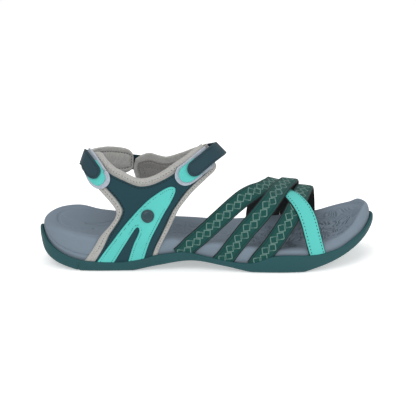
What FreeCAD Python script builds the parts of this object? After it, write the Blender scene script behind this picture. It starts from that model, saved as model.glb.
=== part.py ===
import FreeCAD, Part
import math
import os

os.makedirs("parts", exist_ok=True)

# A right-foot strappy sport sandal, women's size 38.
# Millimetres: +X to the toe, -Y the outer (lateral) side, +Z up, z = 0 the ground.

V = FreeCAD.Vector

# ---------------------------------------------------------------- driving dimensions

# plan outline of the rubber sole, anticlockwise from the back of the heel
OUTLINE = [(-131, -1), (-126, -18), (-111, -29.5), (-80, -34.5), (-40, -35), (0, -38.5),
           (35, -43.5), (65, -45), (90, -40), (110, -28.5), (125, -11), (131, 8), (127, 24),
           (113, 36.5), (90, 43.5), (62, 45), (35, 41), (5, 34), (-25, 29), (-55, 28.5),
           (-85, 30.5), (-111, 26.5), (-126, 15)]

# heights along the sole: (x, height)
TREAD = [(-131, 22), (-128, 12), (-121, 6), (-109, 2), (-95, -0.6), (-64, -0.6), (-40, 4),
         (-14, 8), (12, 4), (36, -0.6), (68, -0.6), (80, 2), (97, 6.8), (111, 12.4), (122, 18.5),
         (131, 26)]
# (x, outer side, inner side)
RUBBER_TOP = [(-131, 28, 28), (-126, 21, 20), (-118, 14.8, 14.8), (-106, 10.1, 10.1),
              (-95, 8, 8), (-70, 7, 7.5), (-54, 9, 9.5), (-42, 12.2, 13), (-30, 14, 15),
              (-18, 15, 16), (-2, 11.5, 13), (17, 8, 9), (33, 7.8, 8), (46, 12.6, 10.5),
              (56, 14, 12), (80, 13.4, 14), (100, 16, 16), (112, 20.8, 20), (122, 25.8, 24),
              (131, 33.5, 30)]
FOOTBED_RIM = [(-131, 29.5, 38), (-117, 28.6, 39.2), (-100, 26, 38.3), (-86, 25, 34), (-73, 25, 32),
               (-34, 24.4, 27.2), (-14, 22, 25.2), (9, 21.6, 21.4), (32, 19.4, 20.2), (52, 17.8, 20.4),
               (75, 18, 22.6), (90, 19.8, 25), (105, 21.5, 30.5), (118, 26, 36), (125, 31, 40.5),
               (131, 34, 41.5)]
DISH = [(-131, 3.5), (-90, 4), (-50, 4), (-10, 3.5), (30, 3.5), (70, 3.5), (100, 4), (131, 4)]
DISH_REACH = 20.0

RUBBER_THICK = 4.0
CUP_WALL = 2.85
FOOTBED_INSET = 3.0
GROOVE_DEPTH = 1.6
GROOVE_WIDTH = 2.0
SHANK_THICK = 1.8

# the foot's space under the front straps: (x, height of its top)
TUNNEL_TOP = [(-40, 100), (9, 84), (28, 68), (44, 59), (58, 54.5), (68, 53), (80, 51.5), (100, 47)]
TUNNEL_POWER = 2.4

# the ankle's space: an oval about a vertical line at ANKLE_X; (z, x) and (z, half width)
ANKLE_X = -50.0
ANKLE_POWER = 2.3
ANKLE_BACK = [(30, -112), (50, -107), (60, -101), (70, -95.5), (85, -89), (100, -84)]
ANKLE_FRONT = [(30, 75), (50, 52), (70, 22), (80, 9), (90, 0), (100, -7)]
ANKLE_HALF = [(20, 30.5), (35, 29.5), (60, 26.5), (80, 24), (100, 22)]
BLEND_FROM, BLEND_OVER = 24.0, 26.0

# layers of the ankle quarters, outwards from the foot
LINING = (0.1, 0.5)
FOAM = (1.3, 3.2)
BINDING = (1.3, 3.9)
SHELL = (3.7, 4.5)
OVERLAY = (5.0, 5.8)
BADGE = (6.15, 7.0)
COLLAR_COVER = (3.75, 4.4)
LOOP_PATCH = (5.65, 6.1)
TIP_PATCH = (6.2, 6.9)
HOOK_PATCH = (6.4, 7.15)
TAB = (7.4, 8.6)
SKIVED = 0.38          # share of the thickness left where a quarter goes into the sole
SKIVE_Z, SKIVE_OVER = 14.0, 20.0

# quarter edges as (angle about ANKLE_X from the heel, z); bottom to top, then heel to instep
LATERAL_REAR = [(32, 5), (38, 17), (43.5, 28.4), (50.3, 37.4), (52.9, 43.7), (50.4, 47.9),
                (43.4, 53.7), (31.2, 62), (23.4, 67.3), (14, 71), (7, 74.5), (6, 84)]
LATERAL_FRONT = [(106, 5), (107.5, 13.3), (116.2, 26.8), (129.2, 42.5), (141.1, 55),
                 (148.2, 62.1), (156.6, 69.3), (166.4, 77.5), (166, 93.7)]
LATERAL_TOP = [(6, 84), (15, 88), (25, 89), (34.8, 84.1), (44.2, 80), (56.8, 76.5), (74.9, 72.3),
               (86.8, 71.4), (103.3, 72.8), (121.6, 77.1), (136.4, 82.8), (148.5, 87.7),
               (157.4, 91.7), (166, 93.7)]
MEDIAL_REAR = [(52, 5), (54, 17), (58, 28), (67, 40), (75, 49), (77, 56), (73, 64), (76, 72.5)]
MEDIAL_FRONT = [(112, 5), (113, 15), (118, 28), (129, 42), (140, 54), (148, 62), (157, 70),
                (166, 77), (167, 87.5)]
MEDIAL_TOP = [(76, 72.5), (87, 75.8), (102, 77.4), (119, 75.1), (128, 74.3), (143, 77.8),
              (156, 83), (167, 87.5)]
BINDING_TOP_WIDTH = 6.0
BINDING_SIDE_WIDTH = 4.6
SEAM_GAP = 0.01        # share of a quarter's width or height between its pieces
QUARTER_FOOT = 0.012   # share of its height where its pieces start, above its pocket's floor

# turquoise wishbone on the outer quarter and its slot, as (x, z)
WISHBONE = [(-88.5, 4), (-84.5, 10), (-70.8, 29.2), (-58.6, 43), (-48.3, 54), (-37.2, 62),
            (-30.5, 65), (-27, 64.3), (-26.4, 61.5), (-28.9, 55.4), (-37.4, 40), (-45.1, 25.9),
            (-50.4, 10.3), (-52, 4)]
WISHBONE_SLOT = [(-75.5, 4), (-72, 9.5), (-62.7, 25.2), (-57.5, 33), (-55, 34.8), (-53.9, 32.2),
                 (-58.1, 22.2), (-62.1, 9.5), (-63.6, 4)]
BADGE_AT = (-47.5, 42.9)
BADGE_RADIUS = 5.0

# padded heel collar: (angle, top z), (angle, bottom z); inner side angles are negative
COLLAR_TOP = [(-73, 74), (-70.5, 77.5), (-62, 81.2), (-36, 84.4), (-25, 84.7), (0, 85.5), (5, 85.5)]
COLLAR_BOTTOM = [(-73, 67), (-70.5, 63.8), (-60, 61.1), (-40, 62.5), (-20, 66.5), (0, 70.5), (5, 71)]

# centre lines of the straps round the ankle as (angle, z), with widths
HEEL_PATH = [(-110, 66), (-95, 66.8), (-78, 68), (-60, 69.5), (-30, 73.5), (-10, 77.2), (0, 79.6),
             (8, 81.3), (14, 81.2), (19.5, 78.8), (24.5, 75.7), (31, 70.8), (36, 69.2), (42, 67.5)]
HEEL_HINGE, HEEL_TIP, HEEL_TURQUOISE_TIP, HEEL_LOOP_TIP = 8.0, 31.0, 37.5, 42.0
HEEL_LOOP_FROM = 10.0
ANKLE_PATH = [(134.5, 70), (140, 72), (147, 75.3), (154, 79.5), (162, 83.3), (169, 84.7), (175, 83.6),
              (182, 81), (190, 78.4), (197, 76.2), (207, 73), (216, 70.5), (225, 68.5)]
ANKLE_HINGE, ANKLE_TIP, ANKLE_TURQUOISE_TIP, ANKLE_LOOP_TIP = 197.0, 145.5, 138.0, 134.5
ANKLE_LOOP_TO = 164.0
STRAP_WIDTH = 12.8
LOOP_WIDTH = 17.0
TURQUOISE_WIDTH = 13.5
HOOK_WIDTH = 10.0
STRAP_BASE_OFFSET = 5.1
HINGE_GAP = 1.2

# front straps: (x, angle over the foot from the outer side), width, and (angle, lift)
WEB_WIDTH = 12.5
WEB_THICK = 1.15
WEB_LINING_THICK = 0.5
LAYER_GAP = 0.12
LAYER_0, LAYER_1, LAYER_2 = 0.45, 2.85, 5.2
FRONT_STRAPS = {
    "rear_cross_strap": dict(
        path=[(-30, -34), (-21.2, -18), (-13, 0), (2.7, 24.8), (13.3, 37.9), (23.6, 48.8), (33.9, 60.2),
              (44.4, 76.2), (51, 100), (53.5, 130), (53.5, 165), (52, 214)],
        width=WEB_WIDTH, lift=[(-34, LAYER_0), (62, LAYER_0), (84, LAYER_1), (160, LAYER_1),
                               (185, LAYER_0), (214, LAYER_0)]),
    "middle_cross_strap": dict(
        path=[(3, -34), (10.9, -18.6), (19.3, 2), (27.9, 20), (36.5, 33.6), (44.5, 46.8), (51.8, 63.9),
              (58, 84), (63, 105), (66.5, 135), (67.5, 170), (67, 214)],
        width=13.3, lift=[(-34, LAYER_0), (22, LAYER_0), (52, LAYER_2), (150, LAYER_2),
                          (185, LAYER_0), (214, LAYER_0)]),
    "front_cross_strap": dict(
        path=[(31.5, -29), (37.3, -14), (44.2, 0), (50.5, 12.4), (58.1, 27.4), (62.2, 36), (67.5, 52),
              (72, 75), (75.5, 100), (79, 135), (81.5, 170), (82, 214)],
        width=WEB_WIDTH, lift=[(-29, LAYER_0), (214, LAYER_0)]),
    "toe_strap": dict(
        path=[(87, -32), (83.3, -15), (81.2, -3), (77.5, 16.3), (74.8, 28.9), (71.4, 41.4), (67.2, 53),
              (62, 65.3), (57, 80), (51, 103), (45.5, 130), (40, 165), (37.5, 214)],
        width=12.0, lift=[(-32, LAYER_0), (12, LAYER_0), (30, LAYER_1), (62, LAYER_1),
                          (78, LAYER_0), (214, LAYER_0)]),
}
POCKET_CLEARANCE = 0.15


# ---------------------------------------------------------------- curves and forms

def along(rows, x):
    """Smooth values at x through rows of (x, value, ...)."""
    last = len(rows) - 1
    x = min(max(x, rows[0][0]), rows[last][0])
    i = 0
    while i < last - 1 and rows[i + 1][0] <= x:
        i += 1

    def slope(j, k):
        a = rows[max(j - 1, 0)]
        b = rows[min(j + 1, last)]
        return (b[k] - a[k]) / (b[0] - a[0])

    h = rows[i + 1][0] - rows[i][0]
    t = (x - rows[i][0]) / h
    values = []
    for k in range(1, len(rows[0])):
        values.append((2 * t ** 3 - 3 * t ** 2 + 1) * rows[i][k]
                      + (t ** 3 - 2 * t ** 2 + t) * h * slope(i, k)
                      + (3 * t ** 2 - 2 * t ** 3) * rows[i + 1][k]
                      + (t ** 3 - t ** 2) * h * slope(i + 1, k))
    return values


def height(rows, x, y):
    """Height at (x, y) from rows of (x, outer side, inner side) or (x, height)."""
    values = along(rows, x)
    side = min(max((y + 45.0) / 90.0, 0.0), 1.0)
    return values[0] + (values[-1] - values[0]) * side


def ease(t):
    t = min(max(t, 0.0), 1.0)
    return t * t * (3 - 2 * t)


def closed_curve(points):
    curve = Part.BSplineCurve()
    curve.interpolate(Points=[V(x, y, 0) for x, y in points], PeriodicFlag=True)
    return curve


def inset_points(inset, count=240):
    """Points of the sole outline moved inwards by inset."""
    curve = closed_curve(OUTLINE)
    first, last = curve.FirstParameter, curve.LastParameter
    points = []
    for i in range(count):
        u = first + (last - first) * i / count
        at = curve.value(u)
        tangent = curve.tangent(u)[0]
        points.append((at.x - tangent.y * inset, at.y + tangent.x * inset))
    return points


EDGE = inset_points(0.0)
WALL = inset_points(FOOTBED_INSET)


def wall_sides(x):
    """The footbed wall's y on the outer and the inner side at x."""
    crossings = []
    for i, (x0, y0) in enumerate(WALL):
        x1, y1 = WALL[(i + 1) % len(WALL)]
        if (x0 - x) * (x1 - x) <= 0 and x0 != x1:
            crossings.append(y0 + (y1 - y0) * (x - x0) / (x1 - x0))
    return min(crossings), max(crossings)


def edge_distance(x, y):
    """How far inside the sole outline (x, y) lies; zero outside it."""
    inside = False
    nearest = 1e9
    for i, (x0, y0) in enumerate(EDGE):
        x1, y1 = EDGE[(i + 1) % len(EDGE)]
        nearest = min(nearest, math.hypot(x0 - x, y0 - y))
        if (y0 > y) != (y1 > y) and x < x0 + (x1 - x0) * (y - y0) / (y1 - y0):
            inside = not inside
    return nearest if inside else 0.0


def wall_radius(angle):
    """Distance from ANKLE_X to the footbed wall in the direction of angle."""
    dx, dy = -math.cos(angle), -math.sin(angle)
    for i, (x0, y0) in enumerate(WALL):
        x1, y1 = WALL[(i + 1) % len(WALL)]
        side0 = (x0 - ANKLE_X) * dy - y0 * dx
        side1 = (x1 - ANKLE_X) * dy - y1 * dx
        if side0 * side1 <= 0 and side0 != side1:
            t = side0 / (side0 - side1)
            reach = (x0 + (x1 - x0) * t - ANKLE_X) * dx + (y0 + (y1 - y0) * t) * dy
            if reach > 0:
                return reach
    raise ValueError("no wall in that direction")


def ankle_point(angle, z):
    """The ankle form's surface; angle in radians, 0 at the heel, positive to the outer side."""
    c, s = math.cos(angle), math.sin(angle)
    long_half = ANKLE_X - along(ANKLE_BACK, z)[0] if c > 0 else along(ANKLE_FRONT, z)[0] - ANKLE_X
    wide_half = along(ANKLE_HALF, z)[0]
    total = (abs(c) / long_half) ** ANKLE_POWER + (abs(s) / wide_half) ** ANKLE_POWER
    radius = total ** (-1 / ANKLE_POWER)
    share = ease((z - BLEND_FROM) / BLEND_OVER)
    if share < 1:
        radius = wall_radius(angle) * (1 - share) + radius * share
    return V(ANKLE_X - radius * c, -radius * s, z)


def tunnel_point(x, angle):
    """The forefoot form's surface; angle in radians, 0 at the outer side, pi at the inner side."""
    outer, inner = wall_sides(x)
    base = height(FOOTBED_RIM, x, outer)
    centre, half = (outer + inner) / 2, (inner - outer) / 2
    rise = along(TUNNEL_TOP, x)[0] - base
    over = min(max(angle, 0.0), math.pi)
    c, s = math.cos(over), math.sin(over)
    radius = ((abs(c) / half) ** TUNNEL_POWER + (s / rise) ** TUNNEL_POWER) ** (-1 / TUNNEL_POWER)
    drop = (over - angle if angle < 0 else angle - over) * half
    return V(x, centre - radius * c, base + radius * s - drop)


def outward(form, a, b):
    """Unit normal of a form at (a, b), pointing away from the foot."""
    step = 1e-3
    da = form(a + step, b) - form(a - step, b)
    db = form(a, b + step) - form(a, b - step)
    normal = da.cross(db)
    normal.normalize()
    at = form(a, b)
    centre = V(ANKLE_X, 0, b) if form is ankle_point else V(a, 0, 10)
    if normal.dot(at - centre) < 0:
        normal = normal * -1
    return normal


def ankle(angle, z, offset):
    """A point offset outwards from the ankle form; angle in degrees."""
    a = math.radians(angle)
    share = SKIVED + (1 - SKIVED) * ease((z - SKIVE_Z) / SKIVE_OVER)
    return ankle_point(a, z) + outward(ankle_point, a, z) * (offset * share)


# ---------------------------------------------------------------- solids

def under(heights, x_count=37, y_count=11):
    """Everything under a smooth surface of heights(x, y), over the whole sole."""
    grid = []
    for i in range(x_count):
        x = -137.0 + 274.0 * i / (x_count - 1)
        row = []
        for j in range(y_count):
            y = -52.0 + 104.0 * j / (y_count - 1)
            row.append(V(x, y, heights(x, y)))
        grid.append(row)
    surface = Part.BSplineSurface()
    surface.interpolate(grid)
    return surface.toShape().extrude(V(0, 0, -120))


def prism(points, bottom, top):
    """A plan outline through points, from bottom to top."""
    wire = Part.Wire([closed_curve(points).toShape()])
    return Part.Face(wire).extrude(V(0, 0, top - bottom)).translated(V(0, 0, bottom))


def inset_prism(inset):
    return prism(inset_points(inset, 60), -10, 70)


def surface_through(grid):
    surface = Part.BSplineSurface()
    surface.interpolate(grid)
    return surface


def slab(inner_grid, outer_grid):
    """A solid between two smooth surfaces through grids of the same size."""
    inner, outer = surface_through(inner_grid), surface_through(outer_grid)
    faces = [inner.toShape(), outer.toShape()]
    u0, u1, v0, v1 = inner.bounds()
    s0, s1, t0, t1 = outer.bounds()
    for mine, other in ((inner.uIso(u0), outer.uIso(s0)), (inner.uIso(u1), outer.uIso(s1)),
                        (inner.vIso(v0), outer.vIso(t0)), (inner.vIso(v1), outer.vIso(t1))):
        faces.append(Part.makeRuledSurface(mine.toShape(), other.toShape()))
    shell = Part.makeShell(faces)
    shell.sewShape()
    solid = Part.makeSolid(shell)
    if solid.Volume < 0:
        solid.reverse()
    return solid


def quarter(rear, front, top, hand):
    """A function (u, v) to (angle, z) over a quarter: u heel to instep, v sole to top edge."""
    z0 = rear[0][1]
    rear_rows = [((z - z0) / (rear[-1][1] - z0), a, z) for a, z in rear]
    front_rows = [((z - z0) / (front[-1][1] - z0), a, z) for a, z in front]

    def place(u, v):
        rear_angle, rear_z = along(rear_rows, v)
        front_angle, front_z = along(front_rows, v)
        top_angle = rear[-1][0] + (front[-1][0] - rear[-1][0]) * u
        straight = rear[-1][1] + (front[-1][1] - rear[-1][1]) * u
        dip = along(top, top_angle)[0] - straight
        return (hand * (rear_angle + (front_angle - rear_angle) * u),
                rear_z + (front_z - rear_z) * u + v * dip)

    return place


def quarter_width(place, v):
    """Length over the surface from a quarter's rear edge to its front edge at v."""
    points = [ankle(*place(i / 8, v), 0) for i in range(9)]
    return sum((points[i + 1] - points[i]).Length for i in range(8))


def patch(place, layer, u_range, v_range, u_count=13, v_count=15):
    """A layer of a quarter between two offsets; the ranges' ends may be functions of v."""
    grids = ([], [])
    for j in range(v_count):
        v = v_range[0] + (v_range[1] - v_range[0]) * j / (v_count - 1)
        u0, u1 = [end(v) if callable(end) else end for end in u_range]
        cells = [place(u0 + (u1 - u0) * i / (u_count - 1), v) for i in range(u_count)]
        for grid, offset in zip(grids, layer):
            grid.append([ankle(angle, z, offset) for angle, z in cells])
    return slab(*grids)


def band(form, places, widths, layers, spread=5):
    """A strap that follows a form, with flat ends: places (a, b), a width and two offsets for each."""
    sections = []
    last = len(places) - 1
    step = 1e-3
    for i, (a, b) in enumerate(places):
        run = form(*places[min(i + 1, last)]) - form(*places[max(i - 1, 0)])
        normal = outward(form, a, b)
        across = normal.cross(run)
        across.normalize()
        da = (form(a + step, b) - form(a - step, b)) * (0.5 / step)
        db = (form(a, b + step) - form(a, b - step)) * (0.5 / step)
        aa, ab, bb = da.dot(da), da.dot(db), db.dot(db)
        pa, pb = da.dot(across), db.dot(across)
        ta, tb = (pa * bb - pb * ab) / (aa * bb - ab * ab), (pb * aa - pa * ab) / (aa * bb - ab * ab)
        low, high = [], []
        for j in range(spread):
            side = widths[i] * (j / (spread - 1) - 0.5)
            at, out = form(a, b) + across * side, normal
            if 0 < i < last:
                place = (a + ta * side, b + tb * side)
                at, out = form(*place), outward(form, *place)
            low.append(at + out * layers[i][0])
            high.append(at + out * layers[i][1])
        sections.append(Part.makePolygon(low + high[::-1] + low[:1]))
    return Part.makeLoft(sections, True, False)


def tip_widths(points, width, at_start):
    """Widths along a strap whose one end is rounded."""
    radius = width / 2
    run = [0.0]
    for a, b in zip(points, points[1:]):
        run.append(run[-1] + (b - a).Length)
    widths = []
    for d in run:
        left = (d if at_start else run[-1] - d) + 0.4
        widths.append(width if left >= radius else 2 * math.sqrt(left * (2 * radius - left)))
    return widths


def ankle_band(path, start, end, width, layer, round_tip=None, offset_rows=None, count=26):
    """A strap round the ankle between two angles; round_tip is None, 0 (start) or 1 (end)."""
    places, layers = [], []
    for i in range(count):
        t = i / (count - 1)
        if round_tip == 0:
            t = t ** 1.8
        elif round_tip == 1:
            t = 1 - (1 - t) ** 1.8
        angle = start + (end - start) * t
        offset = along(offset_rows, angle)[0] if offset_rows else layer[0]
        places.append((math.radians(angle), along(path, angle)[0]))
        layers.append((offset, offset + layer[1] - layer[0]))
    widths = [width] * count
    if round_tip is not None:
        widths = tip_widths([ankle_point(*place) for place in places], width, round_tip == 0)
    return band(ankle_point, places, widths, layers)


def front_strap_line(strap, count=44):
    """Places (x, angle) of a front strap, evenly spaced over the foot, and its lift at each."""
    path = strap["path"]
    rows = [(0.0,) + path[0]]
    for a, b in zip(path, path[1:]):
        step = math.hypot(b[0] - a[0], 0.6 * (b[1] - a[1]))
        rows.append((rows[-1][0] + step,) + b)
    places, lifts = [], []
    for i in range(count):
        x, degrees = along(rows, rows[-1][0] * i / (count - 1))
        places.append((x, math.radians(degrees)))
        lifts.append(along(strap["lift"], degrees)[0])
    return places, lifts


def front_band(places, lifts, width, low, high):
    """A layer of a front strap, from low to high above its lift."""
    layers = [(lift + low, lift + high) for lift in lifts]
    return band(tunnel_point, places, [width] * len(places), layers)


nodes = {}


# ---------------------------------------------------------------- sole

def tread_height(x, y):
    return height(TREAD, x, y)


def rubber_top(x, y):
    return height(RUBBER_TOP, x, y)


def cup_floor(x, y):
    return min(max(tread_height(x, y), 0.0) + RUBBER_THICK, rubber_top(x, y) - 2.5)


def footbed_top(x, y):
    dish = along(DISH, x)[0] * ease(edge_distance(x, y) / DISH_REACH)
    return height(FOOTBED_RIM, x, y) - dish


ground = Part.makeBox(400, 200, 60, V(-200, -100, -60))
outsole = inset_prism(0.0).common(under(rubber_top)).cut(under(tread_height)).cut(ground)
outsole = outsole.cut(inset_prism(CUP_WALL).cut(under(cup_floor)))

grooves = []
for x in (-98, -88, -78, -68, 34, 43, 52, 61, 70, 79):
    groove = Part.makeBox(GROOVE_WIDTH, 120, 30 + GROOVE_DEPTH, V(-GROOVE_WIDTH / 2, -60, -30))
    groove.rotate(V(0, 0, 0), V(0, 0, 1), 8 if x > 0 else -6)
    grooves.append(groove.translated(V(x, 0, 0)))
tread_field = inset_prism(7.0)
for groove in grooves:
    outsole = outsole.cut(groove.common(tread_field))

shank_outline = [(-72, -9), (-74, 0), (-72, 9), (-30, 11), (8, 13), (14, 0), (8, -13), (-30, -11)]
shank_prism = prism(shank_outline, 0, 40)


def over_floor(gap):
    return under(lambda x, y: cup_floor(x, y) + gap)


arch_shank = shank_prism.common(over_floor(0.15 + SHANK_THICK)).cut(over_floor(0.15))
footbed = inset_prism(FOOTBED_INSET).common(under(footbed_top, 45, 21)).cut(over_floor(0.1))
footbed = footbed.cut(shank_prism.common(over_floor(0.2 + SHANK_THICK)))
nodes["footbed"] = footbed
nodes["arch_shank"] = arch_shank


# ---------------------------------------------------------------- front straps

pockets = []
above_floor = Part.makeBox(400, 200, 200, V(-200, -100, -20)).cut(over_floor(0.1))
for name, strap in FRONT_STRAPS.items():
    places, lifts = front_strap_line(strap)
    upper = WEB_LINING_THICK + LAYER_GAP
    top = upper + WEB_THICK
    lining = front_band(places, lifts, strap["width"] + 0.8, 0, WEB_LINING_THICK)
    outer = front_band(places, lifts, strap["width"], upper, top)
    nodes[name + "_lining"] = lining.common(above_floor)
    nodes[name + "_web" if name != "toe_strap" else "toe_strap_upper"] = outer.common(above_floor)
    for tail in (slice(0, 9), slice(-9, None)):
        pocket = front_band(places[tail], lifts[tail], strap["width"] + 1.6,
                            -POCKET_CLEARANCE, top + POCKET_CLEARANCE)
        pockets.append(pocket.common(above_floor))


# ---------------------------------------------------------------- ankle quarters

for side, hand, edges in (("lateral", 1, (LATERAL_REAR, LATERAL_FRONT, LATERAL_TOP)),
                          ("medial", -1, (MEDIAL_REAR, MEDIAL_FRONT, MEDIAL_TOP))):
    place = quarter(*edges, hand)
    tall = (ankle(*place(0.5, 1), 0) - ankle(*place(0.5, 0), 0)).Length
    top_v = 1 - BINDING_TOP_WIDTH / tall

    def rear_u(v, place=place):
        return BINDING_SIDE_WIDTH / quarter_width(place, v)

    def front_u(v, place=place):
        return 1 - BINDING_SIDE_WIDTH / quarter_width(place, v)

    body_v = (QUARTER_FOOT, top_v - SEAM_GAP)
    nodes[side + "_quarter_lining"] = patch(place, LINING, (0, 1), (QUARTER_FOOT, 1), 25, 21)
    nodes[side + "_quarter_foam"] = patch(place, FOAM, (rear_u, front_u), body_v, 25, 21)
    nodes[side + "_quarter_shell"] = patch(place, SHELL, (rear_u, front_u), body_v, 25, 21)
    nodes[side + "_rear_binding"] = patch(
        place, BINDING, (0, lambda v: rear_u(v) - SEAM_GAP), body_v, 4)
    nodes[side + "_front_binding"] = patch(
        place, BINDING, (lambda v: front_u(v) + SEAM_GAP, 1), body_v, 4)
    nodes[side + "_top_binding"] = patch(place, BINDING, (0, 1), (top_v, 1), 25, 4)
    pockets.append(patch(place, (-0.6, 6.9), (-0.02, 1.02), (0, 0.3), 13, 8))

    outlines = []
    for points in (WISHBONE, WISHBONE_SLOT):
        curve = Part.BSplineCurve()
        curve.interpolate(Points=[V(x, 0, z) for x, z in points])
        base = Part.LineSegment(curve.EndPoint, curve.StartPoint).toShape()
        face = Part.Face(Part.Wire([curve.toShape(), base]))
        outlines.append(face.extrude(V(0, -60 * hand, 0)))
    overlay = patch(place, OVERLAY, (rear_u, front_u), body_v, 17)
    nodes[side + "_overlay"] = overlay.common(outlines[0].cut(outlines[1]))

lateral = quarter(LATERAL_REAR, LATERAL_FRONT, LATERAL_TOP, 1)
badge_angle = math.degrees(math.atan2(31.5, ANKLE_X - BADGE_AT[0]))
badge_bottom = ankle(badge_angle, BADGE_AT[1], 3.0)
badge_top = ankle(badge_angle, BADGE_AT[1], 12.0)
badge_plug = Part.makeCylinder(BADGE_RADIUS, 9, badge_bottom, badge_top - badge_bottom)
nodes["lateral_badge"] = patch(lateral, BADGE, (0.2, 0.9), (0.3, 0.9), 17).common(badge_plug)

for pocket in pockets:
    outsole = outsole.cut(pocket)
nodes["outsole"] = outsole


# ---------------------------------------------------------------- heel collar

def collar(u, v):
    angle = COLLAR_TOP[0][0] + (COLLAR_TOP[-1][0] - COLLAR_TOP[0][0]) * u
    low = along(COLLAR_BOTTOM, angle)[0]
    high = along(COLLAR_TOP, angle)[0]
    return angle, low + (high - low) * v


def collar_patch(layer):
    """A layer of the heel collar; its rows run across it, closer together at its rounded end."""
    grids = ([], [])
    for i in range(20):
        cells = [collar((i / 19) ** 1.4, j / 4) for j in range(5)]
        for grid, offset in zip(grids, layer):
            grid.append([ankle(angle, z, offset) for angle, z in cells])
    return slab(*grids)


nodes["heel_collar_lining"] = collar_patch(LINING)
nodes["heel_collar_foam"] = collar_patch(FOAM)
nodes["heel_collar_cover"] = collar_patch(COLLAR_COVER)


# ---------------------------------------------------------------- heel strap and its tab

heel_offsets = [(-110, STRAP_BASE_OFFSET), (-30, STRAP_BASE_OFFSET), (0, TAB[0]), (8, TAB[0])]
nodes["heel_strap"] = ankle_band(HEEL_PATH, -110, HEEL_HINGE, STRAP_WIDTH, TAB,
                                   offset_rows=heel_offsets)
nodes["heel_loop_patch"] = ankle_band(HEEL_PATH, HEEL_LOOP_FROM, HEEL_LOOP_TIP, LOOP_WIDTH,
                                        LOOP_PATCH, 1)
nodes["heel_tip_patch"] = ankle_band(HEEL_PATH, HEEL_TIP - 4, HEEL_TURQUOISE_TIP,
                                       TURQUOISE_WIDTH, TIP_PATCH, 1)
nodes["heel_tab"] = ankle_band(HEEL_PATH, HEEL_HINGE + HINGE_GAP, HEEL_TIP, STRAP_WIDTH, TAB, 1)
nodes["heel_tab_hook"] = ankle_band(HEEL_PATH, HEEL_HINGE + 4, HEEL_TIP - 4.8, HOOK_WIDTH,
                                      HOOK_PATCH)


# ---------------------------------------------------------------- ankle strap

ankle_offsets = [(197, TAB[0]), (205, TAB[0]), (214, STRAP_BASE_OFFSET), (225, STRAP_BASE_OFFSET)]
nodes["ankle_strap_base"] = ankle_band(ANKLE_PATH, ANKLE_HINGE, 225, STRAP_WIDTH, TAB,
                                         offset_rows=ankle_offsets)
nodes["ankle_loop_patch"] = ankle_band(ANKLE_PATH, ANKLE_LOOP_TIP, ANKLE_LOOP_TO, LOOP_WIDTH,
                                         LOOP_PATCH, 0)
nodes["ankle_tip_patch"] = ankle_band(ANKLE_PATH, ANKLE_TURQUOISE_TIP, ANKLE_TIP + 4,
                                        TURQUOISE_WIDTH, TIP_PATCH, 0)
nodes["ankle_strap"] = ankle_band(ANKLE_PATH, ANKLE_TIP, ANKLE_HINGE - HINGE_GAP, STRAP_WIDTH,
                                  TAB, 0)
nodes["ankle_strap_hook"] = ankle_band(ANKLE_PATH, ANKLE_TIP + 4.8, ANKLE_LOOP_TO - 2,
                                         HOOK_WIDTH, HOOK_PATCH)


# ---------------------------------------------------------------- hinges and files

for label, path, angle in (("heel tab", HEEL_PATH, HEEL_HINGE), ("ankle strap", ANKLE_PATH, ANKLE_HINGE)):
    ends = []
    for side in (-1, 0, 1):
        a = math.radians(angle + side * 0.5)
        z = along(path, angle + side * 0.5)[0]
        normal = outward(ankle_point, a, z)
        ends.append((ankle_point(a, z) + normal * TAB[1], normal))
    across = ends[1][1].cross(ends[2][0] - ends[0][0])
    across.normalize()
    print("hinge", label, ends[1][0], across)

whole = Part.makeCompound(list(nodes.values()))
print("box", whole.optimalBoundingBox())
for name, shape in nodes.items():
    solids = shape.Solids
    if not shape.isValid() or not solids or shape.Volume <= 0:
        print("CHECK", name, shape.isValid(), len(solids), shape.Volume)
    if len(solids) > 1:
        print("pieces", name, [round(s.Volume, 1) for s in solids])
    shape.exportStep("parts/" + name + ".step")
print(len(nodes), "nodes")
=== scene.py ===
import math

import bmesh
import bpy
import numpy as np
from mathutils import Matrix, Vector
from mathutils.geometry import delaunay_2d_cdt


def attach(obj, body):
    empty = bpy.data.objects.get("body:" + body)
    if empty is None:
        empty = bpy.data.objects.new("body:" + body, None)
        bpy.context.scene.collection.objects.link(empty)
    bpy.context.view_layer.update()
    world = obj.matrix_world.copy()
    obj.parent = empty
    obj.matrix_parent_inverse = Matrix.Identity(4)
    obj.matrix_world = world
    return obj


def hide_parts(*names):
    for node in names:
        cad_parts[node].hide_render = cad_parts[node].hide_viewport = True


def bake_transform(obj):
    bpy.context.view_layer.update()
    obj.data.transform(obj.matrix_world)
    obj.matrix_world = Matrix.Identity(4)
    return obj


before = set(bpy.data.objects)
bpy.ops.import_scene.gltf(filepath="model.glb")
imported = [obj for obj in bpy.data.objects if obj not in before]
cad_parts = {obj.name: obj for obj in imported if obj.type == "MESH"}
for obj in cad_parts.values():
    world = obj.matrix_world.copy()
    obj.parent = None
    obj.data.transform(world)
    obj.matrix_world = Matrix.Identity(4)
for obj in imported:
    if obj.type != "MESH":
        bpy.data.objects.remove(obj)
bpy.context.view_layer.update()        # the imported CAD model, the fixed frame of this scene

# A right-foot strappy sport sandal. +X to the toe, -Y the outer side, z = 0 the ground.
# Shapes are worked out in millimetres, as the part's own CAD is, and meshes are made in metres.


# ------------------------------------------------------------------ rubber cup sole
# One moulded rubber cup: a 4 mm tread, flat under the heel and the forefoot, lifted under the arch,
# and a rim that climbs the toe and heel. The foam footbed is cemented into it.

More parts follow.
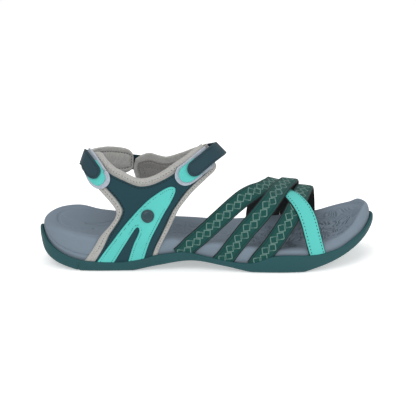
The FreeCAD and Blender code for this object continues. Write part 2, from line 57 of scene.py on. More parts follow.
MM = 0.001
OUTLINE = [(-131, -1), (-126, -18), (-111, -29.5), (-80, -34.5), (-40, -35), (0, -38.5),
           (35, -43.5), (65, -45), (90, -40), (110, -28.5), (125, -11), (131, 8), (127, 24),
           (113, 36.5), (90, 43.5), (62, 45), (35, 41), (5, 34), (-25, 29), (-55, 28.5),
           (-85, 30.5), (-111, 26.5), (-126, 15)]
TREAD = [(-131, 22), (-128, 12), (-121, 6), (-109, 2), (-95, -0.6), (-64, -0.6), (-40, 4),
         (-14, 8), (12, 4), (36, -0.6), (68, -0.6), (80, 2), (97, 6.8), (111, 12.4), (122, 18.5),
         (131, 26)]
RUBBER_TOP = [(-131, 28, 28), (-126, 21, 20), (-118, 14.8, 14.8), (-106, 10.1, 10.1),
              (-95, 8, 8), (-70, 7, 7.5), (-54, 9, 9.5), (-42, 12.2, 13), (-30, 14, 15),
              (-18, 15, 16), (-2, 11.5, 13), (17, 8, 9), (33, 7.8, 8), (46, 12.6, 10.5),
              (56, 14, 12), (80, 13.4, 14), (100, 16, 16), (112, 20.8, 20), (122, 25.8, 24),
              (131, 33.5, 30)]
GROOVE_PLACES = (-98, -88, -78, -68, 34, 43, 52, 61, 70, 79)
GROOVE_WIDTH, GROOVE_DEPTH, GROOVE_MARGIN = 2.0, 1.6, 7.0
HEEL_SLIT_X = -101.5


def along(rows, x):
    """Smooth values at x through rows of (x, value, ...); one column for each value."""
    rows = np.array(rows, float)
    xs, values = rows[:, 0], rows[:, 1:]
    x = np.clip(np.asarray(x, float), xs[0], xs[-1])
    slopes = np.empty_like(values)
    slopes[1:-1] = (values[2:] - values[:-2]) / (xs[2:] - xs[:-2])[:, None]
    slopes[0] = (values[1] - values[0]) / (xs[1] - xs[0])
    slopes[-1] = (values[-1] - values[-2]) / (xs[-1] - xs[-2])
    i = np.clip(np.searchsorted(xs, x, side="right") - 1, 0, len(xs) - 2)
    h = (xs[i + 1] - xs[i])[..., None]
    t = ((x - xs[i]) / (xs[i + 1] - xs[i]))[..., None]
    out = ((2 * t**3 - 3 * t**2 + 1) * values[i] + (t**3 - 2 * t**2 + t) * h * slopes[i]
           + (3 * t**2 - 2 * t**3) * values[i + 1] + (t**3 - t**2) * h * slopes[i + 1])
    return out[..., 0] if values.shape[1] == 1 else out


def ease(t):
    t = np.clip(t, 0, 1)
    return t * t * (3 - 2 * t)


def height(rows, x, y):
    """Height at (x, y) from rows of (x, outer side, inner side)."""
    both = along(rows, x)
    return both[..., 0] + (both[..., 1] - both[..., 0]) * np.clip((y + 45) / 90, 0, 1)


def closed_curve(points, count):
    """Evenly spaced points of a smooth closed curve through points."""
    p = np.array(points, float)
    n = len(p)
    step = np.roll(p, -1, 0) - p
    h = np.linalg.norm(step, axis=1)
    system = np.zeros((n, n))
    right = np.zeros_like(p)
    for i in range(n):
        before = (i - 1) % n
        system[i, before] += h[before]
        system[i, i] += 2 * (h[before] + h[i])
        system[i, (i + 1) % n] += h[i]
        right[i] = 6 * (step[i] / h[i] - step[before] / h[before])
    bend = np.linalg.solve(system, right)
    start = np.concatenate([[0], np.cumsum(h)])
    at = np.linspace(0, start[-1], count, endpoint=False)
    i = np.clip(np.searchsorted(start, at, side="right") - 1, 0, n - 1)
    j = (i + 1) % n
    a = ((start[i + 1] - at) / h[i])[:, None]
    b = 1 - a
    span = (h[i] ** 2)[:, None] / 6
    return a * p[i] + b * p[j] + ((a**3 - a) * bend[i] + (b**3 - b) * bend[j]) * span


def inwards(loop):
    """Unit normals of an anticlockwise plan loop, pointing in."""
    run = np.roll(loop, -1, 0) - np.roll(loop, 1, 0)
    run /= np.linalg.norm(run, axis=1)[:, None]
    return np.stack([-run[:, 1], run[:, 0]], 1)


def new_object(name, points_mm, faces, smooth=True):
    mesh = bpy.data.meshes.new(name)
    mesh.from_pydata([tuple(p) for p in np.asarray(points_mm) * MM], [], faces)
    mesh.validate()
    mesh.update()
    mesh.polygons.foreach_set("use_smooth", [smooth] * len(mesh.polygons))
    made = bpy.data.objects.new(name, mesh)
    bpy.context.scene.collection.objects.link(made)
    return made


def ring_faces(rings, around):
    """Quads joining closed rings of points, each ring around points long."""
    r, k = np.meshgrid(np.arange(rings - 1) * around, np.arange(around), indexing="ij")
    after = (k + 1) % around
    return np.stack([r + k, r + after, r + around + after, r + around + k], -1).reshape(-1, 4).tolist()


def weld(piece, distance_mm=0.001):
    edit = bmesh.new()
    edit.from_mesh(piece.data)
    bmesh.ops.remove_doubles(edit, verts=edit.verts, dist=distance_mm * MM)
    bmesh.ops.recalc_face_normals(edit, faces=edit.faces)
    edit.to_mesh(piece.data)
    edit.free()
    return piece


# every point of a plan loop runs to a spine along the middle of the sole
SPINE_BACK, SPINE_FRONT = -98.0, 94.0


def towards_spine(loop, share):
    """Points of a plan loop moved by share, 0 to 1, towards the sole's middle line."""
    x = np.clip(loop[:, 0] * 0.93, SPINE_BACK, SPINE_FRONT)
    middle = np.stack([x, along([(-131, -1), (0, -1.5), (60, 0), (131, 6)], x)], 1)
    return loop + (middle - loop) * share


def tread(x, y):
    return np.maximum(along(TREAD, x), 0.0)


edge = closed_curve(OUTLINE, 720)
edge_in = inwards(edge)


def edge_distance(points):
    """Distance inwards from the sole's outline, for plan points inside it."""
    found = np.empty(len(points))
    for i in range(0, len(points), 4000):
        part = points[i:i + 4000]
        found[i:i + 4000] = np.sqrt(((part[:, None, :] - edge[None, :, :]) ** 2).sum(2).min(1))
    return found


def groove_depth(x, y, distance):
    """How deep the tread's cross grooves cut at (x, y)."""
    depth = np.zeros_like(x)
    inside = ease((distance - GROOVE_MARGIN) / 0.8)
    for place in GROOVE_PLACES:
        lean = math.radians(8 if place > 0 else -6)
        off = np.abs((x - place) * math.cos(lean) + y * math.sin(lean))
        cut = GROOVE_DEPTH * ease((GROOVE_WIDTH / 2 + 0.35 - off) / 0.7)
        depth = np.maximum(depth, cut * inside)
    sipe = np.abs(np.sin((x + 0.35 * y) * math.pi / 3.1)) * 3.1 / math.pi
    patch = inside * ease((distance - 9) / 1.5) * (tread(x, y) < 0.05)
    return np.maximum(depth, 0.5 * ease((0.45 - sipe) / 0.3) * patch)


def wall_rings(profile):
    """Rings up the sole's outside: inset, mm above the tread, or mm above the rim if given."""
    rings = []
    low, high = tread(edge[:, 0], edge[:, 1]), height(RUBBER_TOP, edge[:, 0], edge[:, 1])
    for inset, from_low, from_high in profile:
        plan = edge + edge_in * inset
        z = low + from_low if from_high is None else high + from_high
        rings.append(np.column_stack([plan, z]))
    return rings


sole_rings = []
for share in np.linspace(1, 0, 58):
    plan = towards_spine(edge + edge_in * 2.4, share)
    distance = edge_distance(plan)
    z = tread(plan[:, 0], plan[:, 1]) + groove_depth(plan[:, 0], plan[:, 1], distance)
    sole_rings.append(np.column_stack([plan, z]))
sole_rings += wall_rings([(1.5, 0.12, None), (0.8, 0.5, None), (0.3, 1.1, None), (0.05, 2.0, None)])
low = sole_rings[-1][:, 2].copy()
high = height(RUBBER_TOP, edge[:, 0], edge[:, 1]) - 1.3
for share in (0.25, 0.5, 0.75, 1.0):
    plan = edge + edge_in * 0.05
    sole_rings.append(np.column_stack([plan, low + (np.maximum(high, low + 0.5) - low) * share]))
top = [(0.12, -0.7), (0.4, -0.22), (0.85, 0.0), (1.5, 0.0), (2.1, -0.25), (2.5, -0.8), (2.75, -2.2)]
sole_rings += wall_rings([(inset, 0, down) for inset, down in top])
slit = np.exp(-((edge[:, 0] - HEEL_SLIT_X) / 0.55) ** 2) * (edge[:, 1] < 0)
for ring in sole_rings[-18:-8]:
    ring[:, :2] += edge_in * (slit * 1.4)[:, None]
outsole = new_object("outsole", np.concatenate(sole_rings), ring_faces(len(sole_rings), len(edge)))
weld(outsole, 0.01)


def material(name, colour, roughness, **sockets):
    """A material with one Principled shader; returns it and its node tree's parts."""
    made = bpy.data.materials.new(name)
    made.use_nodes = True
    tree = made.node_tree
    shader = tree.nodes["Principled BSDF"]
    shader.inputs["Base Color"].default_value = (*colour, 1)
    shader.inputs["Roughness"].default_value = roughness
    for socket, value in sockets.items():
        shader.inputs[socket.replace("_", " ")].default_value = value
    return made, tree, shader


def feed(tree, socket, value):
    """Links an input socket to a value's socket, or sets it."""
    value = getattr(value, "socket", value)
    if isinstance(value, bpy.types.NodeSocket):
        tree.links.new(value, socket)
    else:
        socket.default_value = value


def node(tree, kind, values=(), **settings):
    """A node with settings and input values (by index or name)."""
    made = tree.nodes.new(kind)
    for key, value in settings.items():
        setattr(made, key, value)
    for key, value in dict(values).items():
        feed(tree, made.inputs[key], value)
    return made


class Signal:
    """A value in a node tree; arithmetic on it adds Math nodes."""

    def __init__(self, tree, socket):
        self.tree, self.socket = tree, socket

    def maths(self, operation, other=0.0, clamp=False, swap=False):
        pair = [other, self] if swap else [self, other]
        made = node(self.tree, "ShaderNodeMath", enumerate(pair), operation=operation, use_clamp=clamp)
        return Signal(self.tree, made.outputs[0])

    def __add__(self, other):
        return self.maths("ADD", other)

    def __sub__(self, other):
        return self.maths("SUBTRACT", other)

    def __rsub__(self, other):
        return self.maths("SUBTRACT", other, swap=True)

    def __mul__(self, other):
        return self.maths("MULTIPLY", other)

    def __rtruediv__(self, other):
        return self.maths("DIVIDE", other, swap=True)

    def __abs__(self):
        return self.maths("ABSOLUTE")


FLOAT, COLOUR = "NodeSocketFloat", "NodeSocketColor"
GREY = (0.5, 0.5, 0.5, 1)


def new_group(name, inputs, outputs):
    """A shader node group: itself, its inputs as signals, and a function that sets an output."""
    group = bpy.data.node_groups.new(name, "ShaderNodeTree")
    for label, kind, default in inputs:
        socket = group.interface.new_socket(name=label, in_out="INPUT", socket_type=kind)
        socket.default_value = default
    for label, kind in outputs:
        group.interface.new_socket(name=label, in_out="OUTPUT", socket_type=kind)
    start, end = group.nodes.new("NodeGroupInput"), group.nodes.new("NodeGroupOutput")
    given = {label: Signal(group, start.outputs[label]) for label, _, _ in inputs}
    return group, given, lambda label, value: feed(group, end.inputs[label], value)


def noise(tree, scale, detail):
    """Noise over the object's own space, about its middle value."""
    where = node(tree, "ShaderNodeTexCoord").outputs["Object"]
    made = node(tree, "ShaderNodeTexNoise", {"Vector": where, "Scale": scale, "Detail": detail})
    return Signal(tree, made.outputs["Fac"]) - 0.5


def cell_distance(tree, size_mm, randomness=1.0, feature="F1"):
    """Distance from the middle of small cells, size_mm across."""
    where = node(tree, "ShaderNodeTexCoord").outputs["Object"]
    values = {"Vector": where, "Scale": 1 / MM / size_mm, "Randomness": randomness}
    return Signal(tree, node(tree, "ShaderNodeTexVoronoi", values, feature=feature).outputs["Distance"])


def toned(tree, colour, value):
    """A colour with its brightness scaled by value."""
    return node(tree, "ShaderNodeHueSaturation", {"Color": colour, "Value": value}).outputs["Color"]


def skin_material(name, group, colour, roughness, bump, sockets, **values):
    """A material whose colour, roughness and fine relief, bump mm deep, come from a skin group."""
    made, tree, shader = material(name, colour, roughness, **sockets)
    skin = node(tree, "ShaderNodeGroup", node_tree=group)
    for key, value in values.items():
        skin.inputs[key.replace("_", " ")].default_value = value
    tree.links.new(skin.outputs["Colour"], shader.inputs["Base Color"])
    if "Roughness" in skin.outputs:
        tree.links.new(skin.outputs["Roughness"], shader.inputs["Roughness"])
    raised = node(tree, "ShaderNodeBump", {"Height": skin.outputs["Height"], "Distance": bump * MM})
    tree.links.new(raised.outputs["Normal"], shader.inputs["Normal"])
    return made


# moulded skin: cloudy colour, fine grain, and convex edges painted lighter as a painted highlight
moulded, given, put = new_group(
    "moulded_skin",
    [("Colour", COLOUR, GREY), ("Cloud", FLOAT, 0.1), ("Grain Size", FLOAT, 0.6), ("Wear", FLOAT, 0.2),
     ("Roughness", FLOAT, 0.6)],
    [("Colour", COLOUR), ("Roughness", FLOAT), ("Height", FLOAT)])
cloud, grain = noise(moulded, 28.0, 4.0), noise(moulded, 1 / MM / given["Grain Size"], 3.0)
pointed = Signal(moulded, node(moulded, "ShaderNodeNewGeometry").outputs["Pointiness"]) - 0.5
# the convex edges and rims, found by pointiness, are painted lighter: a painted highlight
edge_highlight = pointed.maths("MULTIPLY", 6.0, clamp=True) * given["Wear"]
put("Colour", toned(moulded, given["Colour"], cloud * given["Cloud"] + edge_highlight + grain * 0.12 + 1.0))
put("Roughness", given["Roughness"].maths("ADD", cloud * 0.25, clamp=True))
put("Height", grain)


# the fifth argument sets the strength of the painted highlight on convex edges
def moulded_material(name, colour, cloud, grain, edge_highlight, roughness, bump, **sockets):
    return skin_material(name, moulded, colour, roughness, bump, sockets, Colour=(*colour, 1),
                         Cloud=cloud, Grain_Size=grain, Wear=edge_highlight, Roughness=roughness)


def dress(piece, finish, body, replaced=()):
    """Gives a piece its material and body, and hides the CAD nodes it stands for."""
    piece.data.materials.append(finish)
    if body:
        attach(piece, body)
    if replaced:
        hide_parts(*replaced)


rubber = moulded_material("teal_rubber", (0.010, 0.064, 0.072), 0.3, 0.5, 0.2, 0.6, 0.12,
                          Specular_IOR_Level=0.3)
dress(outsole, rubber, "root", ["outsole"])


# ------------------------------------------------------------------ foam footbed
# One piece of moulded EVA foam, cemented into the cup: a tall heel wall with a parting crease, a
# rounded rim, a dished top with moulded rings under the heel and a winding relief under the toes.

FOOTBED_RIM = [(-131, 29.5, 38), (-117, 28.6, 39.2), (-100, 26, 38.3), (-86, 25, 34), (-73, 25, 32),
               (-34, 24.4, 27.2), (-14, 22, 25.2), (9, 21.6, 21.4), (32, 19.4, 20.2), (52, 17.8, 20.4),
               (75, 18, 22.6), (90, 19.8, 25), (105, 21.5, 30.5), (118, 26, 36), (125, 31, 40.5),
               (131, 34, 41.5)]
DISH = [(-131, 3.5), (-90, 4), (-50, 4), (-10, 3.5), (30, 3.5), (70, 3.5), (100, 4), (131, 4)]
DISH_REACH = 20.0
FOOTBED_INSET = 3.0


def footbed_rim(x, y):
    return height(FOOTBED_RIM, x, y)


def oval_line(x, y, centre, size, lean, width):
    """1 on the line of an oval, falling to 0 within width."""
    c, s = math.cos(math.radians(lean)), math.sin(math.radians(lean))
    u = ((x - centre[0]) * c + (y - centre[1]) * s) / size[0]
    v = (-(x - centre[0]) * s + (y - centre[1]) * c) / size[1]
    r = (np.abs(u) ** 2.6 + np.abs(v) ** 2.6) ** (1 / 2.6)
    return ease(1 - np.abs(r - 1) * min(size) / width)


def contour_lines(x, y, centre, pitch, width):
    """Wandering contour lines round centre, like those of a map: 1 on a line, 0 between."""
    u = x - centre[0] - 4 * np.sin(0.21 * y)
    v = y - centre[1] - 4 * np.sin(0.25 * x)
    wander = 2.2 * np.sin(0.45 * x + 1.3 * np.sin(0.3 * y)) + 1.6 * np.sin(0.55 * y + 0.2 * x)
    far = np.hypot(u / 1.2, v) + wander
    wave = np.abs(np.sin(math.pi * far / pitch)) * pitch / math.pi
    return ease(1 - wave / width)


def line_to(x, y, start, end, width):
    """1 on the straight line between two plan points, falling to 0 within width."""
    run = np.array(end) - np.array(start)
    share = np.clip(((x - start[0]) * run[0] + (y - start[1]) * run[1]) / (run @ run), 0, 1)
    return ease(1 - np.hypot(x - start[0] - share * run[0], y - start[1] - share * run[1]) / width)


def zone(x, y, centre, size):
    """1 inside an oval, falling to 0 just outside it."""
    return ease((1.08 - np.hypot((x - centre[0]) / size[0], (y - centre[1]) / size[1])) / 0.16)


def relief(x, y):
    """Moulded detail of the footbed's top, in mm; below zero is cut in."""
    cut = 0.9 * oval_line(x, y, (-83, 2), (34, 18.5), 0, 1.1)
    cut = np.maximum(cut, 0.85 * line_to(x, y, (-94.6, 2.6), (-60, 18), 0.9))
    cut = np.maximum(cut, 0.85 * line_to(x, y, (-94.6, 1.4), (-60, 5.5), 0.9))
    for at in ((-95, 2), (-112, -10.5), (-102, -12), (-89, -5.5)):
        cut = np.maximum(cut, 0.9 * ease(1.5 - np.hypot(x - at[0], y - at[1]) / 1.2))
    for place in range(6):
        start = (-97 + 8 * place, -16.2 - 0.5 * place)
        cut = np.maximum(cut, 0.7 * line_to(x, y, start, (start[0] + 3.5, start[1] - 0.3), 0.9))
    toes = contour_lines(x, y, (103, 8), 3.4, 1.0) * zone(x, y, (99, 6), (22, 26))
    ball = contour_lines(x, y, (73, -8), 3.6, 0.95) * zone(x, y, (58, -2), (27, 27))
    arch = contour_lines(x * 0.8, y * 0.9, (-22, 0), 5.0, 0.7) * zone(x, y, (-12, 0), (34, 16))
    return -np.maximum(cut, 1.9 * toes + 1.5 * ball + 0.7 * arch)


bed_edge = closed_curve(OUTLINE, 1180)
bed_in = inwards(bed_edge)
bed_rings = []
rim = footbed_rim(bed_edge[:, 0], bed_edge[:, 1])
rounding = 3.0 + 4.5 * ease((bed_edge[:, 0] - 62) / 40) * ease((18 - bed_edge[:, 1]) / 20)
base = height(RUBBER_TOP, bed_edge[:, 0], bed_edge[:, 1]) - 2.0
wall_tall = rim - base
for share in np.linspace(0, 1, 26):
    bulge = 0.28 * np.sin(math.pi * share) * np.clip(wall_tall / 15, 0, 1)
    crease_at = base + 5.4 + 0.02 * (bed_edge[:, 0] + 131)
    z = base + (rim - rounding - base) * share
    heel_side = ease((-62 - bed_edge[:, 0]) / 12)
    crease = 0.75 * np.exp(-((z - crease_at) / 0.7) ** 2) * heel_side
    inset = FOOTBED_INSET - bulge + crease
    bed_rings.append(np.column_stack([bed_edge + bed_in * inset[:, None], z]))
for angle in np.radians([12, 25, 38, 52, 66, 80]):
    inset = FOOTBED_INSET + rounding * (1 - math.cos(angle))
    z = rim - rounding + rounding * math.sin(angle)
    bed_rings.append(np.column_stack([bed_edge + bed_in * inset[:, None], z]))
shoulder = bed_edge + bed_in * (FOOTBED_INSET + rounding)[:, None]
for share in np.linspace(0.012, 1, 84):
    plan = towards_spine(shoulder, share)
    distance = edge_distance(plan)
    dish = along(DISH, plan[:, 0]) * ease(np.maximum(distance - 5.5, 0) / DISH_REACH)
    detail = relief(plan[:, 0], plan[:, 1]) * ease((distance - 9) / 3)
    z = footbed_rim(plan[:, 0], plan[:, 1]) - dish + detail
    bed_rings.append(np.column_stack([plan, z]))
footbed = new_object("footbed", np.concatenate(bed_rings), ring_faces(len(bed_rings), len(bed_edge)))
weld(footbed, 0.01)
foam = moulded_material("grey_foam", (0.160, 0.205, 0.252), 0.16, 0.35, 0.35, 0.68, 0.1,
                        Specular_IOR_Level=0.35)
dress(footbed, foam, "root", ["footbed"])

nylon = moulded_material("black_nylon", (0.02, 0.02, 0.022), 0.1, 0.8, 0.1, 0.5, 0.05)
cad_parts["arch_shank"].data.materials.clear()
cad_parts["arch_shank"].data.materials.append(nylon)


# ------------------------------------------------------------------ forefoot straps
# Three woven jacquard webbing straps, each on a black knit lining, cross over the instep, with a smooth
# turquoise synthetic leather strap over the toes; every tail is glued between the foam and the rubber.

TUNNEL_TOP = [(-40, 100), (9, 84), (28, 68), (44, 59), (58, 54.5), (68, 53), (80, 51.5), (100, 47)]
TUNNEL_POWER = 2.4
WEB_WIDTH, WEB_THICK, WEB_LINING_THICK = 12.5, 1.15, 0.5
LAYER_0, LAYER_1, LAYER_2 = 0.45, 2.25, 4.05
FRONT_STRAPS = {
    "rear_cross_strap": dict(
        path=[(-30, -34), (-21.2, -18), (-13, 0), (2.7, 24.8), (13.3, 37.9), (23.6, 48.8), (33.9, 60.2),
              (44.4, 76.2), (51, 100), (53.5, 130), (53.5, 165), (52, 214)],
        width=WEB_WIDTH, lift=[(-34, LAYER_0), (62, LAYER_0), (84, LAYER_1), (160, LAYER_1),
                               (185, LAYER_0), (214, LAYER_0)]),
    "middle_cross_strap": dict(
        path=[(3, -34), (10.9, -18.6), (19.3, 2), (27.9, 20), (36.5, 33.6), (44.5, 46.8), (51.8, 63.9),
              (58, 84), (63, 105), (66.5, 135), (67.5, 170), (67, 214)],
        width=13.3, lift=[(-34, LAYER_0), (22, LAYER_0), (52, LAYER_2), (150, LAYER_2),
                          (185, LAYER_0), (214, LAYER_0)]),
    "front_cross_strap": dict(
        path=[(31.5, -29), (37.3, -14), (44.2, 0), (50.5, 12.4), (58.1, 27.4), (62.2, 36), (67.5, 52),
              (72, 75), (75.5, 100), (79, 135), (81.5, 170), (82, 214)],
        width=WEB_WIDTH, lift=[(-29, LAYER_0), (214, LAYER_0)]),
    "toe_strap": dict(
        path=[(87, -32), (83.3, -15), (81.2, -3), (77.5, 16.3), (74.8, 28.9), (71.4, 41.4), (67.2, 53),
              (62.5, 65.3), (59, 80), (54.5, 103), (48.5, 130), (40, 165), (37.5, 214)],
        width=12.0, lift=[(-32, LAYER_0), (12, LAYER_0), (30, LAYER_1), (62, LAYER_1),
                          (78, LAYER_0), (214, LAYER_0)]),
}

wall = edge + edge_in * FOOTBED_INSET
outer_wall = wall[edge_in[:, 1] > 0]
outer_wall = outer_wall[np.argsort(outer_wall[:, 0])]
inner_wall = wall[edge_in[:, 1] <= 0]
inner_wall = inner_wall[np.argsort(inner_wall[:, 0])]


def tunnel_point(x, angle):
    """The forefoot form's surface; angle in radians, 0 at the outer side, pi at the inner side."""
    outer = np.interp(x, outer_wall[:, 0], outer_wall[:, 1])
    inner = np.interp(x, inner_wall[:, 0], inner_wall[:, 1])
    floor_z = footbed_rim(x, outer)
    centre, half = (outer + inner) / 2, (inner - outer) / 2
    rise = along(TUNNEL_TOP, x) - floor_z
    over = np.clip(angle, 0, math.pi)
    c, s = np.cos(over), np.sin(over)
    radius = ((np.abs(c) / half) ** TUNNEL_POWER + (s / rise) ** TUNNEL_POWER) ** (-1 / TUNNEL_POWER)
    drop = np.abs(angle - over) * half
    return np.stack([x, centre - radius * c, floor_z + radius * s - drop], -1)


def outward(form, a, b, inside):
    """Unit normals of a form at (a, b), pointing away from the points that inside(a, b) gives."""
    step = 1e-3
    normal = np.cross(form(a + step, b) - form(a - step, b), form(a, b + step) - form(a, b - step))
    normal /= np.linalg.norm(normal, axis=-1)[..., None]
    away = ((form(a, b) - inside(a, b)) * normal).sum(-1)
    return normal * np.where(away < 0, -1, 1)[..., None]


def tunnel_inside(x, angle):
    return np.stack([x, 0 * x, 0 * x + 10], -1)


def on_form(form, inside, a, b, offset):
    """Points offset outwards from a form, and the form's normals there."""
    normal = outward(form, a, b, inside)
    return form(a, b) + normal * np.asarray(offset)[..., None], normal


class Route:
    """A line over a form that straps and seams follow: places in mm along it and across it."""

    def __init__(self, form, inside, a, b):
        self.form, self.inside, self.a, self.b = form, inside, a, b
        points = form(a, b)
        self.run = np.concatenate([[0], np.cumsum(np.linalg.norm(np.diff(points, axis=0), axis=1))])
        across = np.cross(outward(form, a, b, inside), np.gradient(points, axis=0))
        across /= np.linalg.norm(across, axis=1)[:, None]
        step = 1e-3
        da = (form(a + step, b) - form(a - step, b)) / (2 * step)
        db = (form(a, b + step) - form(a, b - step)) / (2 * step)
        aa, ab, bb = (da * da).sum(1), (da * db).sum(1), (db * db).sum(1)
        pa, pb = (da * across).sum(1), (db * across).sum(1)
        self.ta = (pa * bb - pb * ab) / (aa * bb - ab * ab)
        self.tb = (pb * aa - pa * ab) / (aa * bb - ab * ab)

    def at(self, along_mm, across_mm, offset):
        """Points and normals at mm along and across the route, offset from the form."""
        a = np.interp(along_mm, self.run, self.a) + np.interp(along_mm, self.run, self.ta) * across_mm
        b = np.interp(along_mm, self.run, self.b) + np.interp(along_mm, self.run, self.tb) * across_mm
        return on_form(self.form, self.inside, a, b, offset)


def strap_mesh(name, route, start, end, width, low, thick, shape=None, tips=(0, 0), step=0.9,
               columns=22, form_floor=None):
    """A closed strap along a route; low(s) is its lower face's offset, shape(s, t) its upper relief.

    tips are 1 for a rounded end and 0 for a straight one; form_floor(x, y) is a lowest height."""
    count = max(int(abs(end - start) / step), 8)
    share = np.linspace(0, 1, count)
    if tips != (0, 0):
        share = ease(share) if tips == (1, 1) else (1 - (1 - share) ** 1.7 if tips[1] else share ** 1.7)
    s = start + (end - start) * share
    half = np.full(count, width / 2)
    for tip, left in zip(tips, (np.abs(s - start), np.abs(end - s))):
        if tip:
            near = np.clip(left + 0.02, 0, width / 2)
            half = np.minimum(half, np.sqrt(near * (width - near)))
    turn = np.linspace(-1, 1, columns)
    turn = np.sign(turn) * (1 - (1 - np.abs(turn)) ** 1.5)
    s_grid, t_grid = np.meshgrid(s, turn, indexing="ij")
    t_grid = t_grid * half[:, None]
    gap = half[:, None] - np.abs(t_grid)
    for tip, left in zip(tips, (np.abs(s - start), np.abs(end - s))):
        if not tip:
            gap = np.minimum(gap, left[:, None] + 0.12)
    round_to = min(thick * 0.75, 0.8)
    swell = np.sqrt(np.clip(1 - (1 - np.clip(gap / round_to, 0, 1)) ** 2, 0, 1))
    base = low(s_grid) if callable(low) else np.full_like(s_grid, low)
    lift = thick * (0.35 + 0.65 * swell)
    if shape:
        lift = lift + shape(s_grid, t_grid)
    top = route.at(s_grid, t_grid, base + lift)[0]
    bottom = route.at(s_grid, t_grid, base)[0][:, ::-1]
    if form_floor:
        for face in (top, bottom):
            face[..., 2] = np.maximum(face[..., 2], form_floor(face[..., 0], face[..., 1]))
    ring = np.concatenate([top, bottom], axis=1)
    faces = ring_faces(count, 2 * columns)
    last = (count - 1) * 2 * columns
    for row in (0, last):
        caps = [(row + k, row + k + 1, row + 2 * columns - 2 - k, row + 2 * columns - 1 - k)
                for k in range(columns - 1)]
        faces += caps if row == 0 else [cap[::-1] for cap in caps]
    made = new_object(name, ring.reshape(-1, 3), faces)
    weave = made.data.uv_layers.new(name="weave")
    place = np.stack([s_grid, t_grid], -1)
    place = np.concatenate([place, place[:, ::-1]], 1)
    corners = np.empty(len(made.data.loops), int)
    made.data.loops.foreach_get("vertex_index", corners)
    weave.data.foreach_set("uv", (place.reshape(-1, 2)[corners]).ravel().astype(np.float32))
    return weld(made, 0.002)


def stitches(name, points, normals, pitch=2.6, length=1.3, radius=0.26, sink=0.05):
    """A row of thread stitches, each a small rounded dash, along a line of points."""
    run = np.concatenate([[0], np.cumsum(np.linalg.norm(np.diff(points, axis=0), axis=1))])
    places = np.arange(pitch / 2, run[-1], pitch)
    heads = []
    for shift in (-0.5, 0.5):
        s = places + shift * length
        heads.append(np.stack([np.interp(s, run, points[:, k]) for k in range(3)], -1))
    up = np.stack([np.interp(places, run, normals[:, k]) for k in range(3)], -1)
    up /= np.linalg.norm(up, axis=1)[:, None]
    middle, reach = (heads[0] + heads[1]) / 2, (heads[1] - heads[0]) / 2
    side = np.cross(up, reach)
    side /= np.linalg.norm(side, axis=1)[:, None]
    verts, faces, around = [], [], 6
    profile = ((-1.0, 0.45), (-0.6, 0.95), (0.0, 1.0), (0.6, 0.95), (1.0, 0.45))
    for along_share, wide in profile:
        for k in range(around):
            turn = 2 * math.pi * k / around
            verts.append(middle + reach * along_share - up * (sink + 0.25 * radius * abs(along_share))
                         + (side * math.cos(turn) + up * math.sin(turn)) * radius * wide)
    verts = np.stack(verts, 1)
    ring = ring_faces(len(profile), around)
    last = (len(profile) - 1) * around
    ends = [tuple(range(around))[::-1], tuple(range(last, last + around))]
    per = verts.shape[1]
    for index in range(len(places)):
        for face in ring + ends:
            faces.append([index * per + corner for corner in face])
    return new_object(name, verts.reshape(-1, 3), faces)


def mix_colour(tree, factor, first_colour, second_colour):
    values = {0: factor, 6: first_colour, 7: second_colour}
    return node(tree, "ShaderNodeMix", values, data_type="RGBA").outputs[2]


# jacquard webbing, in mm along and across it: fine ribs across, two staggered columns of open
# diamonds, plain dark edges
jacquard, given, put = new_group(
    "jacquard_web",
    [("Ground", COLOUR, GREY), ("Figure", COLOUR, GREY), ("Edge", COLOUR, GREY),
     ("Half Width", FLOAT, 6.25), ("Repeat", FLOAT, 10.4), ("Column", FLOAT, 1.35),
     ("Size", FLOAT, 3.3), ("Line", FLOAT, 0.36)],
    [("Colour", COLOUR), ("Height", FLOAT), ("Roughness", FLOAT)])
weave_uv = node(jacquard, "ShaderNodeUVMap", uv_map="weave").outputs[0]
place = node(jacquard, "ShaderNodeSeparateXYZ", {0: weave_uv})
length, across = Signal(jacquard, place.outputs[0]), Signal(jacquard, place.outputs[1])
columns = []
for hand, shift in ((-1.0, 0.0), (1.0, 0.5)):
    repeated = (length + given["Repeat"] * shift).maths("FLOORED_MODULO", given["Repeat"])
    u, v = repeated - given["Repeat"] * 0.5, across - given["Column"] * hand
    off_line = abs(abs(u) + abs(v) - given["Size"])
    on_line = off_line.maths("LESS_THAN", given["Line"] * math.sqrt(2))
    faded = (u * hand).maths("GREATER_THAN", 1.6)
    columns.append(on_line * (1.0 - faded * 0.45))
from_edge = given["Half Width"] - abs(across)
figure = columns[0].maths("MAXIMUM", columns[1]) * from_edge.maths("GREATER_THAN", 1.2)
edge_band = abs(from_edge - 1.25).maths("LESS_THAN", 0.28)
ribs = (length * (2 * math.pi / 0.62)).maths("SINE")
yarns = (across * (2 * math.pi / 0.74) + length * 2.0).maths("SINE")
woven_height = ribs * 0.5 + yarns * 0.35
figured = mix_colour(jacquard, figure, given["Ground"], given["Figure"])
edged = mix_colour(jacquard, edge_band, figured, given["Edge"])
# the colour is lighter on the crests of the ribs and yarns and darker between them: painted light and
# shade
put("Colour", toned(jacquard, edged, noise(jacquard, 900.0, 2.0) * 0.28 + 1.0 + woven_height * 0.1))
put("Height", woven_height + figure * 0.8)
put("Roughness", figure * -0.12 + 0.72)

webbing = skin_material("green_webbing", jacquard, (0.01, 0.1, 0.09), 0.7, 0.16,
                        dict(Sheen_Weight=0.05, Specular_IOR_Level=0.25),
                        Ground=(0.004, 0.066, 0.058, 1), Figure=(0.125, 0.235, 0.205, 1),
                        Edge=(0.004, 0.035, 0.036, 1))
